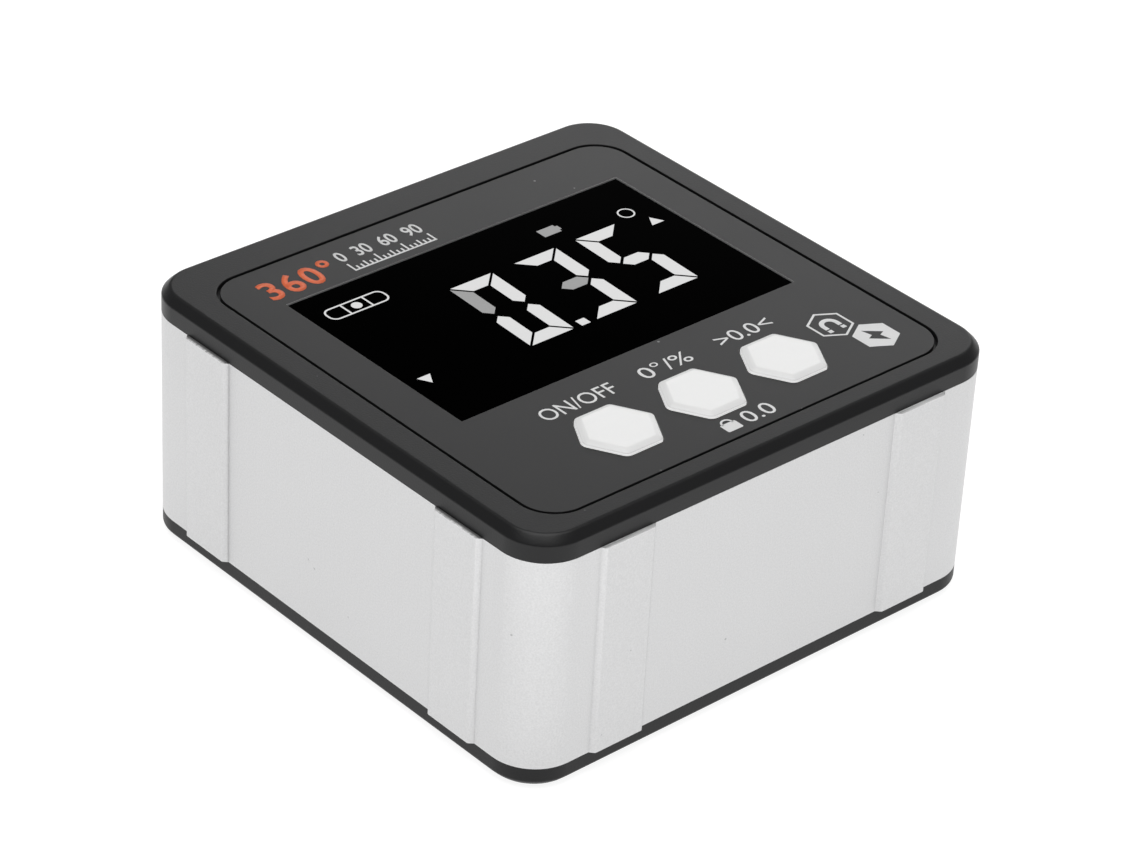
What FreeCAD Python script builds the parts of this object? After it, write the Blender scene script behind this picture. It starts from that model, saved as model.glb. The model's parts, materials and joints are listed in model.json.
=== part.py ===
# Digital inclinometer: a square aluminium extrusion closed by a black front bezel and a black
# rear cover, with a display, three hexagonal keys, a circuit board, a battery and bar magnets.
# Millimetres. The gauge lies on its back: +Z points out of the display, +X runs the way the
# display reads, +Y is up on the display, and the origin is the middle of the bottom face.

import FreeCAD, Part
import math
import os
import re

import Sketcher

os.makedirs("parts", exist_ok=True)

doc = FreeCAD.newDocument("Inclinometer")
sizes = doc.addObject("Spreadsheet::Sheet", "Sizes")

# Driving dimensions: name, millimetres, what it is
DIMENSIONS = [
    ("outer_width", 60.0, "across the flat panels, the bezel and the rear cover"),
    ("outer_radius", 5.0, "round the four upright corners"),
    ("rear_height", 2.4, "rear cover, bottom face to the end of the extrusion"),
    ("body_height", 23.2, "sawn length of the extrusion"),
    ("bezel_height", 2.7, "front bezel, end of the extrusion to its top rim"),
    ("edge_bevel", 0.85, "bevel round the bezel and round the rear cover"),
    ("wall", 2.0, "extrusion wall"),
    ("rail_rise", 0.5, "rail above the flat panel"),
    ("rail_inset", 7.6, "end of a side to the outer foot of its rail"),
    ("rail_width", 6.8, "rail across its feet"),
    ("rail_flank", 0.7, "sideways run of a rail's flank towards the corner"),
    ("rail_step", 0.1, "sideways run of a rail's flank towards the middle"),
    ("post_inset", 7.4, "screw post from the outside of the walls, along X and along Y"),
    ("post_width", 5.2, "screw post outside"),
    ("post_bore", 2.5, "screw post bore"),
    ("post_slit", 1.2, "slit that opens the bore towards the middle"),
    ("post_web", 1.8, "web from a screw post to its corner"),
    ("channel_wall", 0.8, "wall round a magnet channel"),
    ("magnet_width", 6.0, "bar magnet across its rail"),
    ("magnet_depth", 2.0, "bar magnet behind its rail"),
    ("magnet_length", 20.0, "bar magnet along the extrusion"),
    ("magnet_gap", 0.1, "room round a magnet in its channel"),
    ("rear_floor", 1.6, "rear cover plate inside its rim"),
    ("bezel_floor", 1.4, "bezel plate under the overlay"),
    ("seal_width", 1.0, "groove for a sealing ring"),
    ("seal_depth", 0.7, "depth of a sealing groove"),
    ("seal_gap", 0.05, "room at each side of a sealing ring"),
    ("tongue_length", 20.0, "locating tongue along a side"),
    ("tongue_thickness", 1.2, "locating tongue"),
    ("tongue_reach", 1.5, "locating tongue past the end of the extrusion"),
    ("tongue_gap", 0.1, "room between a tongue and the wall"),
    ("rim_side", 3.6, "rim left and right of the overlay recess, to the outside"),
    ("rim_top", 4.9, "rim above the overlay recess"),
    ("rim_bottom", 2.9, "rim below the overlay recess"),
    ("recess_radius", 4.0, "corner of the overlay recess"),
    ("recess_depth", 0.6, "overlay recess below the top rim"),
    ("overlay_thickness", 0.5, "printed overlay"),
    ("overlay_gap", 0.25, "dark gap round the overlay"),
    ("window_left", 8.65, "outside of the walls to the display window, left"),
    ("window_right", 8.1, "outside of the walls to the display window, right"),
    ("window_top", 12.3, "outside of the walls to the display window, above"),
    ("window_bottom", 21.05, "outside of the walls to the display window, below"),
    ("window_thickness", 0.35, "display window"),
    ("window_gap", 0.05, "room round the display window"),
    ("window_ledge", 1.0, "bezel ledge under the edge of the window"),
    ("glass_border", 1.0, "liquid crystal glass past the window, all round"),
    ("glass_thickness", 2.2, "liquid crystal glass, both plates"),
    ("contact_strip", 2.2, "rubber contact strip along the lower edge of the glass"),
    ("holder_wall", 0.8, "display holder"),
    ("holder_gap", 0.1, "room between the glass and its holder"),
    ("key_points", 4.48, "key from its middle to a point, at the overlay"),
    ("key_apart", 1.8, "points of two neighbouring keys apart"),
    ("key_middle", 0.12, "middle key along X"),
    ("key_row_up", 10.95, "row of keys above the lower outside wall"),
    ("key_rise", 0.45, "key top above the overlay"),
    ("key_bevel", 0.7, "sideways run of the bevel round a key top"),
    ("key_bevel_height", 0.3, "height of that bevel"),
    ("key_rounding", 0.7, "upright corners of a key"),
    ("key_gap", 0.15, "room between a key and the bezel"),
    ("key_flange", 0.75, "flange that holds a key in, past its side"),
    ("flange_thickness", 0.8, "key flange"),
    ("flange_gap", 0.05, "room above a resting key flange"),
    ("key_travel", 0.3, "key stroke"),
    ("switch_width", 6.0, "switch case"),
    ("switch_height", 2.5, "switch case"),
    ("stem_width", 3.4, "switch stem"),
    ("stem_gap", 0.1, "room round a switch stem"),
    ("stem_depth", 0.9, "switch stem inside its case"),
    ("board_side", 5.5, "outside of the walls to the circuit board"),
    ("board_gap", 0.9, "room between the board's corner notches and the screw posts"),
    ("board_thickness", 1.6, "circuit board"),
    ("board_grid", 1.0, "grid of the places and sizes of the board's small parts"),
    ("board_tab_width", 11.0, "board tab that carries the charging socket"),
    ("pillar_width", 4.0, "square board pillar under the bezel"),
    ("pillar_height", 4.3, "bezel plate to the circuit board"),
    ("pillar_side", 12.5, "outside of the walls to the two lower pillars"),
    ("pillar_gap", 0.9, "room between a pillar and the display holder"),
    ("pillar_bore", 1.6, "board pillar bore"),
    ("socket_width", 8.9, "charging socket across"),
    ("socket_height", 3.2, "charging socket"),
    ("socket_length", 7.3, "charging socket front to back"),
    ("socket_shell", 0.3, "charging socket metal"),
    ("port_gap", 0.3, "room round the socket in the wall"),
    ("plug_flange", 1.5, "port plug flange past the slot"),
    ("plug_recess", 0.6, "flat recess round the port"),
    ("plug_thickness", 1.0, "port plug flange"),
    ("plug_gap", 0.2, "room round the port plug flange"),
    ("plug_insert", 2.4, "port plug inside the socket"),
    ("screw_width", 2.4, "case screw thread"),
    ("screw_head", 4.4, "case screw head"),
    ("screw_length", 8.0, "case screw with its head"),
    ("screw_clear", 2.8, "clear hole for a case screw"),
    ("screw_gap", 0.1, "room round a screw head in its flared seat"),
    ("thread_gap", 0.05, "room round a board screw's thread"),
    ("battery_side", 10.0, "outside of the walls to the battery, left and right"),
    ("battery_end", 13.0, "outside of the walls to the battery, above and below"),
    ("battery_height", 7.0, "battery"),
    ("foam_height", 0.8, "foam pad under the battery"),
    ("fence_gap", 0.3, "room between the battery and its fence"),
    ("fence_wall", 1.2, "battery fence"),
    ("fence_reach", 5.0, "battery fence along each side of a corner"),
    ("fence_height", 3.4, "battery fence above the plate"),
]

ALIASES = {alias for alias, value, note in DIMENSIONS}
for row, (alias, value, note) in enumerate(DIMENSIONS, start=1):
    sizes.set(f"A{row}", note)
    sizes.set(f"B{row}", str(value))
    sizes.setAlias(f"B{row}", alias)
doc.recompute()


def size(formula):
    """Turn a formula in sheet names into one that other objects can use."""
    def full_name(found):
        word = found.group()
        return f"Sizes.{word}" if word in ALIASES else word
    return re.sub(r"[a-z_]+", full_name, formula)


def number(formula):
    """The value of a formula in sheet names."""
    return float(sizes.evalExpression(size(formula)))


# Heights above the bottom face
BODY_START = "rear_height"
BODY_END = "( rear_height + body_height )"
TOP = "( rear_height + body_height + bezel_height )"
PLATE_TOP = f"( {TOP} - recess_depth )"
PLATE_UNDER = f"( {TOP} - recess_depth - bezel_floor )"
OVERLAY_TOP = f"( {PLATE_TOP} + overlay_thickness )"
BOARD_TOP = f"( {PLATE_UNDER} - pillar_height )"
BOARD_UNDER = f"( {BOARD_TOP} - board_thickness )"
SOCKET_MIDDLE = f"( {BOARD_UNDER} - socket_height / 2 )"

# Places and spans that several parts share
CAVITY = "( outer_width - 2 * wall )"
PANEL = "( outer_width / 2 )"
RAIL_MIDDLE = f"( {PANEL} - rail_inset - rail_width / 2 )"
POST = f"( {PANEL} - post_inset )"
CORNERS = [(1, 1), (-1, 1), (-1, -1), (1, -1)]
RECESS_WIDTH = "( outer_width - 2 * rim_side )"
RECESS_LENGTH = "( outer_width - rim_top - rim_bottom )"
RECESS_PLACE = "( ( rim_bottom - rim_top ) / 2 )"
WINDOW_WIDTH = "( outer_width - window_left - window_right )"
WINDOW_LENGTH = "( outer_width - window_top - window_bottom )"
WINDOW_ACROSS = "( ( window_left - window_right ) / 2 )"
WINDOW_PLACE = "( ( window_bottom - window_top ) / 2 )"
GLASS_WIDTH = f"( {WINDOW_WIDTH} + 2 * glass_border )"
GLASS_LENGTH = f"( {WINDOW_LENGTH} + 2 * glass_border )"
HOLDER_REACH = f"( {GLASS_LENGTH} / 2 + holder_gap + holder_wall )"
BATTERY_WIDTH = "( outer_width - 2 * battery_side )"
BATTERY_LENGTH = "( outer_width - 2 * battery_end )"
KEY_ROW = f"( key_row_up - {PANEL} )"
KEY_PLACES = [
    ("left", "( key_middle - 2 * key_points - key_apart )"),
    ("middle", "( key_middle )"),
    ("right", "( key_middle + 2 * key_points + key_apart )"),
]
PILLARS = [
    (f"( {PANEL} - pillar_side )", f"( {WINDOW_PLACE} - {HOLDER_REACH} - pillar_gap - pillar_width / 2 )"),
    (f"( pillar_side - {PANEL} )", f"( {WINDOW_PLACE} - {HOLDER_REACH} - pillar_gap - pillar_width / 2 )"),
    ("( 0 )", f"( {WINDOW_PLACE} + {HOLDER_REACH} + pillar_gap + pillar_width / 2 )"),
]


def new_body(name):
    body = doc.addObject("PartDesign::Body", name)
    body.Label = name
    return body


def new_sketch(body, name, offset, role="XY_Plane"):
    """A sketch on one of the body's own planes, moved out along the plane's normal."""
    plane = next(feature for feature in body.Origin.OriginFeatures if feature.Role == role)
    sketch = body.newObject("Sketcher::SketchObject", name)
    sketch.AttachmentSupport = [(plane, "")]
    sketch.MapMode = "FlatFace"
    sketch.setExpression("AttachmentOffset.Base.z", size(offset))
    return sketch


def set_measure(sketch, kind, where, formula):
    """Add one dimension to a sketch and bind it to the sheet."""
    index = sketch.addConstraint(Sketcher.Constraint(kind, *where, number(formula)))
    sketch.setExpression(f"Constraints[{index}]", size(formula))


def rounded_rectangle(sketch, width, length, radius, x="0", y="0"):
    left = number(f"{x} - ( {width} ) / 2")
    right = number(f"{x} + ( {width} ) / 2")
    low = number(f"{y} - ( {length} ) / 2")
    high = number(f"{y} + ( {length} ) / 2")
    r = number(radius)
    first = sketch.GeometryCount
    ends = [
        ((left + r, low), (right - r, low)),
        ((right, low + r), (right, high - r)),
        ((right - r, high), (left + r, high)),
        ((left, high - r), (left, low + r)),
    ]
    centres = [(right - r, low + r), (right - r, high - r), (left + r, high - r), (left + r, low + r)]
    for start, end in ends:
        line = Part.LineSegment(FreeCAD.Vector(*start, 0), FreeCAD.Vector(*end, 0))
        sketch.addGeometry(line, False)
    for corner, centre in enumerate(centres):
        start = (corner - 1) * math.pi / 2
        circle = Part.Circle(FreeCAD.Vector(*centre, 0), FreeCAD.Vector(0, 0, 1), r)
        sketch.addGeometry(Part.ArcOfCircle(circle, start, start + math.pi / 2), False)
    for side in range(4):
        line = first + side
        arc = first + 4 + side
        following = first + (side + 1) % 4
        sketch.addConstraint(Sketcher.Constraint("Tangent", line, 2, arc, 1))
        sketch.addConstraint(Sketcher.Constraint("Tangent", arc, 2, following, 1))
    for side, direction in enumerate(["Horizontal", "Vertical", "Horizontal", "Vertical"]):
        sketch.addConstraint(Sketcher.Constraint(direction, first + side))
    for arc in range(3):
        sketch.addConstraint(Sketcher.Constraint("Equal", first + 4 + arc, first + 5 + arc))
    set_measure(sketch, "Radius", (first + 4,), radius)
    set_measure(sketch, "DistanceX", (first + 3, 1, first + 1, 1), width)
    set_measure(sketch, "DistanceY", (first, 1, first + 2, 1), length)
    set_measure(sketch, "DistanceX", (-1, 1, first + 3, 1), f"{x} - ( {width} ) / 2")
    set_measure(sketch, "DistanceY", (-1, 1, first, 1), f"{y} - ( {length} ) / 2")


def polygon(sketch, corners):
    """A closed outline with every corner placed from the sketch's origin."""
    first = sketch.GeometryCount
    places = [FreeCAD.Vector(number(x), number(y), 0) for x, y in corners]
    count = len(places)
    for side in range(count):
        line = Part.LineSegment(places[side], places[(side + 1) % count])
        sketch.addGeometry(line, False)
    for side in range(count):
        following = first + (side + 1) % count
        sketch.addConstraint(Sketcher.Constraint("Coincident", first + side, 2, following, 1))
    for side, (x, y) in enumerate(corners):
        set_measure(sketch, "DistanceX", (-1, 1, first + side, 1), x)
        set_measure(sketch, "DistanceY", (-1, 1, first + side, 1), y)


def rectangle(sketch, left, right, low, high):
    polygon(sketch, [(left, low), (right, low), (right, high), (left, high)])


def centred_rectangle(sketch, width, length, x, y):
    rectangle(sketch, f"{x} - ( {width} ) / 2", f"{x} + ( {width} ) / 2",
              f"{y} - ( {length} ) / 2", f"{y} + ( {length} ) / 2")


def circle(sketch, diameter, x, y):
    centre = FreeCAD.Vector(number(x), number(y), 0)
    ring = Part.Circle(centre, FreeCAD.Vector(0, 0, 1), number(diameter) / 2)
    index = sketch.addGeometry(ring, False)
    set_measure(sketch, "Diameter", (index,), diameter)
    set_measure(sketch, "DistanceX", (-1, 1, index, 3), x)
    set_measure(sketch, "DistanceY", (-1, 1, index, 3), y)


def hexagon(sketch, points, x, y):
    """A hexagon with flats along X and points at +X and -X; points is middle to point."""
    corners = []
    for corner in range(6):
        turn = corner * 60
        corners.append((
            f"{x} + ( {points} ) * cos({turn} deg)",
            f"{y} + ( {points} ) * sin({turn} deg)",
        ))
    polygon(sketch, corners)


def pad(body, sketch, name, length, backwards=False):
    feature = body.newObject("PartDesign::Pad", name)
    feature.Profile = sketch
    feature.setExpression("Length", size(length))
    feature.Reversed = backwards
    doc.recompute()
    return feature


def pocket(body, sketch, name, depth, forwards=False):
    """Cut into the body, against the sketch's normal unless forwards is set."""
    before = body.Shape.Volume
    feature = body.newObject("PartDesign::Pocket", name)
    feature.Profile = sketch
    feature.setExpression("Length", size(depth))
    feature.Reversed = forwards
    doc.recompute()
    if body.Shape.Volume >= before - 0.001:
        raise RuntimeError(f"{body.Label}: {name} cuts nothing")
    return feature


def four_times(body, features, name):
    """Repeat features round the upright axis through the origin."""
    pattern = body.newObject("PartDesign::PolarPattern", name)
    pattern.Originals = features
    pattern.Axis = (features[0].Profile[0], ["N_Axis"])
    pattern.Angle = 360
    pattern.Occurrences = 4
    body.Tip = pattern
    doc.recompute()
    return pattern


def edge_names(feature, test):
    return [f"Edge{i}" for i, edge in enumerate(feature.Shape.Edges, start=1) if test(edge)]


def lies_at(edge, height):
    return all(abs(vertex.Z - height) < 1e-6 for vertex in edge.Vertexes)


def is_upright(edge):
    if len(edge.Vertexes) != 2:
        return False
    first, last = edge.Vertexes
    return abs(first.X - last.X) < 1e-6 and abs(first.Y - last.Y) < 1e-6


def bevel(body, name, edges, length):
    base = body.Tip
    feature = body.newObject("PartDesign::Chamfer", name)
    feature.Base = (base, edges)
    feature.setExpression("Size", size(length))
    doc.recompute()
    return feature


def rounding(body, name, edges, radius):
    base = body.Tip
    feature = body.newObject("PartDesign::Fillet", name)
    feature.Base = (base, edges)
    feature.setExpression("Radius", size(radius))
    doc.recompute()
    return feature


def box(name, width, length, height, x, y, bottom):
    """An upright block, centred on x and y."""
    block = doc.addObject("Part::Box", name)
    block.Label = name
    block.setExpression("Length", size(width))
    block.setExpression("Width", size(length))
    block.setExpression("Height", size(height))
    block.setExpression("Placement.Base.x", size(f"{x} - ( {width} ) / 2"))
    block.setExpression("Placement.Base.y", size(f"{y} - ( {length} ) / 2"))
    block.setExpression("Placement.Base.z", size(bottom))
    return block


def cylinder(name, diameter, height, x, y, bottom):
    rod = doc.addObject("Part::Cylinder", name)
    rod.Label = name
    rod.setExpression("Radius", size(f"( {diameter} ) / 2"))
    rod.setExpression("Height", size(height))
    rod.setExpression("Placement.Base.x", size(x))
    rod.setExpression("Placement.Base.y", size(y))
    rod.setExpression("Placement.Base.z", size(bottom))
    return rod


def group(name, shapes):
    """Separate identical solids in one sub-part."""
    feature = doc.addObject("Part::Feature", name)
    feature.Label = name
    feature.Shape = Part.makeCompound(shapes)
    return feature


# Aluminium extrusion
def make_extrusion():
    body = new_body("body_extrusion")
    outline = new_sketch(body, "ExtrusionOutline", BODY_START)
    rounded_rectangle(outline, "outer_width", "outer_width", "outer_radius")
    pad(body, outline, "Block", "body_height")

    cavity = new_sketch(body, "ExtrusionCavity", BODY_END)
    rounded_rectangle(cavity, CAVITY, CAVITY, "outer_radius - wall")
    pocket(body, cavity, "Cavity", "body_height")

    # One side's pair of rails, sunk into the wall: a long slope towards the corner, a step inwards
    rails = new_sketch(body, "Rails", BODY_START)
    near = f"( {RAIL_MIDDLE} - rail_width / 2 )"
    far = f"( {RAIL_MIDDLE} + rail_width / 2 )"
    for sign in (1, -1):
        polygon(rails, [(x, f"{sign} * ( {y} )") for x, y in (
            (f"{PANEL} - wall / 2", near),
            (PANEL, near),
            (f"{PANEL} + rail_rise", f"{near} + rail_step"),
            (f"{PANEL} + rail_rise", f"{far} - rail_flank"),
            (PANEL, far),
            (f"{PANEL} - wall / 2", far),
        )])
    rail_pad = pad(body, rails, "RailPair", "body_height")
    four_times(body, [rail_pad], "RailsAllRound")

    # Each magnet channel is a closed box section behind its rail
    reach = "( magnet_width / 2 + magnet_gap )"
    depth = "( magnet_depth + 2 * magnet_gap )"
    inside = f"( {PANEL} - wall )"
    casing = new_sketch(body, "ChannelCasing", BODY_START)
    hollow = new_sketch(body, "ChannelHollow", BODY_END)
    for middle in (RAIL_MIDDLE, f"( 0 - {RAIL_MIDDLE} )"):
        rectangle(casing, f"{inside} - {depth} - channel_wall", f"{inside} + wall / 2",
                  f"{middle} - {reach} - channel_wall", f"{middle} + {reach} + channel_wall")
        rectangle(hollow, f"{inside} - {depth}", inside, f"{middle} - {reach}", f"{middle} + {reach}")
    casing_pad = pad(body, casing, "ChannelWalls", "body_height")
    four_times(body, [casing_pad], "ChannelWallsAllRound")

    post = new_sketch(body, "ScrewPost", BODY_START)
    circle(post, "post_width", POST, POST)
    post_pad = pad(body, post, "Post", "body_height")
    web = new_sketch(body, "PostWeb", BODY_START)
    corner = f"( {PANEL} - wall / 2 )"
    half_web = "post_web / sqrt(2) / 2"
    rounded_end = "( outer_radius - wall / 2 ) * ( 1 - 1 / sqrt(2) )"
    polygon(web, [
        (f"{POST} + {half_web}", f"{POST} - {half_web}"),
        (f"{corner} - {rounded_end} + {half_web}", f"{corner} - {rounded_end} - {half_web}"),
        (f"{corner} - {rounded_end} - {half_web}", f"{corner} - {rounded_end} + {half_web}"),
        (f"{POST} - {half_web}", f"{POST} + {half_web}"),
    ])
    web_pad = pad(body, web, "Web", "body_height")
    four_times(body, [post_pad, web_pad], "PostsAllRound")

    hollow_cut = pocket(body, hollow, "MagnetChannels", "body_height")
    four_times(body, [hollow_cut], "MagnetChannelsAllRound")

    bore = new_sketch(body, "PostBore", BODY_END)
    circle(bore, "post_bore", POST, POST)
    bore_cut = pocket(body, bore, "ScrewBore", "body_height")
    slit = new_sketch(body, "PostSlit", BODY_END)
    half_slit = "post_slit / sqrt(2) / 2"
    reach = "post_width / 2"
    polygon(slit, [
        (f"{POST} + {half_slit}", f"{POST} - {half_slit}"),
        (f"{POST} - {half_slit}", f"{POST} + {half_slit}"),
        (f"{POST} - {reach} - {half_slit}", f"{POST} - {reach} + {half_slit}"),
        (f"{POST} - {reach} + {half_slit}", f"{POST} - {reach} - {half_slit}"),
    ])
    slit_cut = pocket(body, slit, "BoreSlit", "body_height")
    four_times(body, [bore_cut, slit_cut], "BoresAllRound")

    slot = new_sketch(body, "PortSlot", f"{PANEL} + rail_rise", "YZ_Plane")
    slot_height = "socket_height + 2 * port_gap"
    rounded_rectangle(slot, "socket_width + 2 * port_gap", slot_height, f"( {slot_height} ) * 0.48",
                      "0", SOCKET_MIDDLE)
    pocket(body, slot, "ChargingSlot", "rail_rise + wall + magnet_gap")
    seat = new_sketch(body, "PortSeat", PANEL, "YZ_Plane")
    seat_height = f"{slot_height} + 2 * plug_flange"
    rounded_rectangle(seat, "socket_width + 2 * port_gap + 2 * plug_flange", seat_height,
                      f"( {seat_height} ) * 0.48", "0", SOCKET_MIDDLE)
    pocket(body, seat, "PlugSeat", "plug_recess")
    return body


def seal_outlines(sketch, margin):
    """The two edges of a ring along the middle of the wall."""
    inset = f"( ( wall - seal_width ) / 2 + {margin} )"
    outer = f"outer_width - 2 * {inset}"
    inner = f"{CAVITY} + 2 * {inset}"
    rounded_rectangle(sketch, outer, outer, f"outer_radius - {inset}")
    rounded_rectangle(sketch, inner, inner, f"outer_radius - wall + {inset}")


def pocket_inside(body, name, offset, depth, forwards):
    """Hollow a cover inside its rim, leaving a solid square at each corner for the screws."""
    sketch = new_sketch(body, name + "Outline", offset)
    edge = f"( {CAVITY} / 2 )"
    near = f"( {POST} - post_width / 2 )"
    quarter = [(edge, near), (near, near), (near, edge)]
    corners = []
    for turn, (sign_x, sign_y) in enumerate(CORNERS):
        steps = quarter if turn % 2 == 0 else quarter[::-1]
        corners += [(f"{sign_x} * {x}", f"{sign_y} * {y}") for x, y in steps]
    polygon(sketch, corners)
    pocket(body, sketch, name, depth, forwards)


def make_tongues(body, name, offset, length, backwards):
    """Four tongues that drop inside the extrusion's walls and place the part."""
    sketch = new_sketch(body, name + "Outline", offset)
    outer = f"( {PANEL} - wall - tongue_gap )"
    rectangle(sketch, f"{outer} - tongue_thickness", outer, "0 - tongue_length / 2",
              "tongue_length / 2")
    tongue = pad(body, sketch, name, length, backwards)
    four_times(body, [tongue], name + "sAllRound")


def make_screw_holes(body, name, face, forwards):
    """Clear holes with flared mouths; the flare starts on the outer face."""
    hole = new_sketch(body, name + "Outline", face)
    circle(hole, "screw_clear", POST, POST)
    hole_cut = pocket(body, hole, name, "rear_height + bezel_height", forwards)
    cone = body.newObject("PartDesign::SubtractiveCone", name + "Flare")
    plane = next(item for item in body.Origin.OriginFeatures if item.Role == "XY_Plane")
    cone.AttachmentSupport = [(plane, "")]
    cone.MapMode = "FlatFace"
    cone.setExpression("AttachmentOffset.Base.x", size(POST))
    cone.setExpression("AttachmentOffset.Base.y", size(POST))
    wide = "( screw_head / 2 + screw_gap )"
    narrow = "( screw_width / 2 + screw_gap )"
    depth = f"( {wide} - {narrow} )"
    cone.setExpression("AttachmentOffset.Base.z", size(face if forwards else f"{face} - {depth}"))
    cone.setExpression("Radius1", size(wide if forwards else narrow))
    cone.setExpression("Radius2", size(narrow if forwards else wide))
    cone.setExpression("Height", size(depth))
    doc.recompute()
    four_times(body, [hole_cut, cone], name + "sAllRound")


# Front bezel
def make_bezel():
    body = new_body("front_bezel")
    outline = new_sketch(body, "BezelOutline", BODY_END)
    rounded_rectangle(outline, "outer_width", "outer_width", "outer_radius")
    block = pad(body, outline, "BezelBlock", "bezel_height")
    top = number(TOP)
    bevel(body, "RimBevel", edge_names(block, lambda edge: lies_at(edge, top)), "edge_bevel")

    recess = new_sketch(body, "RecessOutline", TOP)
    rounded_rectangle(recess, RECESS_WIDTH, RECESS_LENGTH, "recess_radius", "0", RECESS_PLACE)
    pocket(body, recess, "OverlayRecess", "recess_depth")

    pocket_inside(body, "Underside", BODY_END, f"{PLATE_UNDER} - {BODY_END}", True)

    groove = new_sketch(body, "FrontGrooveOutline", BODY_END)
    seal_outlines(groove, "0")
    pocket(body, groove, "FrontGroove", "seal_depth", forwards=True)

    make_tongues(body, "FrontTongue", PLATE_UNDER, f"{PLATE_UNDER} - {BODY_END} + tongue_reach", True)

    pillars = new_sketch(body, "PillarOutlines", PLATE_UNDER)
    for x, y in PILLARS:
        centred_rectangle(pillars, "pillar_width", "pillar_width", x, y)
    pad(body, pillars, "Pillars", "pillar_height", backwards=True)
    bores = new_sketch(body, "PillarBores", BOARD_TOP)
    for x, y in PILLARS:
        circle(bores, "pillar_bore", x, y)
    pocket(body, bores, "PillarHoles", "pillar_height", forwards=True)

    opening = new_sketch(body, "DisplayOpening", PLATE_TOP)
    centred_rectangle(opening, f"{WINDOW_WIDTH} - 2 * window_ledge", f"{WINDOW_LENGTH} - 2 * window_ledge",
                      WINDOW_ACROSS, WINDOW_PLACE)
    pocket(body, opening, "DisplayWindow", "bezel_floor")

    keys = new_sketch(body, "KeyOpenings", PLATE_TOP)
    for name, x in KEY_PLACES:
        hexagon(keys, "key_points + key_gap", x, KEY_ROW)
    pocket(body, keys, "KeyHoles", "bezel_floor")

    make_screw_holes(body, "FrontHole", PLATE_TOP, False)
    return body


# Rear cover
def make_rear_cover():
    body = new_body("rear_cover")
    outline = new_sketch(body, "CoverOutline", "0")
    rounded_rectangle(outline, "outer_width", "outer_width", "outer_radius")
    block = pad(body, outline, "CoverBlock", "rear_height")
    bevel(body, "CoverBevel", edge_names(block, lambda edge: lies_at(edge, 0.0)), "edge_bevel")

    pocket_inside(body, "Inside", "rear_height", "rear_height - rear_floor", False)

    groove = new_sketch(body, "RearGrooveOutline", "rear_height")
    seal_outlines(groove, "0")
    pocket(body, groove, "RearGroove", "seal_depth")

    make_tongues(body, "RearTongue", "rear_floor", "rear_height - rear_floor + tongue_reach", False)

    # Four angle ribs fence the battery in at its corners
    fence = new_sketch(body, "FenceOutline", "rear_floor")
    near_x = f"( {BATTERY_WIDTH} / 2 + fence_gap )"
    near_y = f"( {BATTERY_LENGTH} / 2 + fence_gap )"
    for sign_x, sign_y in CORNERS:
        corners = [
            (near_x, near_y),
            (near_x, f"{near_y} - fence_reach"),
            (f"{near_x} + fence_wall", f"{near_y} - fence_reach"),
            (f"{near_x} + fence_wall", f"{near_y} + fence_wall"),
            (f"{near_x} - fence_reach", f"{near_y} + fence_wall"),
            (f"{near_x} - fence_reach", near_y),
        ]
        polygon(fence, [(f"{sign_x} * ( {x} )", f"{sign_y} * ( {y} )") for x, y in corners])
    pad(body, fence, "BatteryFence", "fence_height")

    make_screw_holes(body, "RearHole", "0", True)
    return body


# Sealing rings
def make_seal(name, bottom):
    body = new_body(name)
    outline = new_sketch(body, name + "_outline", bottom)
    seal_outlines(outline, "seal_gap")
    pad(body, outline, name + "_ring", "seal_depth")
    return body


# Printed overlay and display window
def make_overlay():
    body = new_body("overlay_panel")
    outline = new_sketch(body, "OverlayOutline", PLATE_TOP)
    rounded_rectangle(outline, f"{RECESS_WIDTH} - 2 * overlay_gap", f"{RECESS_LENGTH} - 2 * overlay_gap",
                      "recess_radius - overlay_gap", "0", RECESS_PLACE)
    pad(body, outline, "OverlaySheet", "overlay_thickness")
    cut = new_sketch(body, "OverlayCutouts", OVERLAY_TOP)
    centred_rectangle(cut, f"{WINDOW_WIDTH} + 2 * window_gap", f"{WINDOW_LENGTH} + 2 * window_gap",
                      WINDOW_ACROSS, WINDOW_PLACE)
    for name, x in KEY_PLACES:
        hexagon(cut, "key_points + key_gap", x, KEY_ROW)
    pocket(body, cut, "OverlayHoles", "overlay_thickness")
    return body


def make_window():
    body = new_body("display_window")
    outline = new_sketch(body, "WindowOutline", PLATE_TOP)
    centred_rectangle(outline, WINDOW_WIDTH, WINDOW_LENGTH, WINDOW_ACROSS, WINDOW_PLACE)
    pad(body, outline, "WindowSheet", "window_thickness")
    return body


# Display stack: two glass plates, light panel, rubber contact strip and holder
GLASS_UNDER = f"( {PLATE_UNDER} - glass_thickness )"


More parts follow.
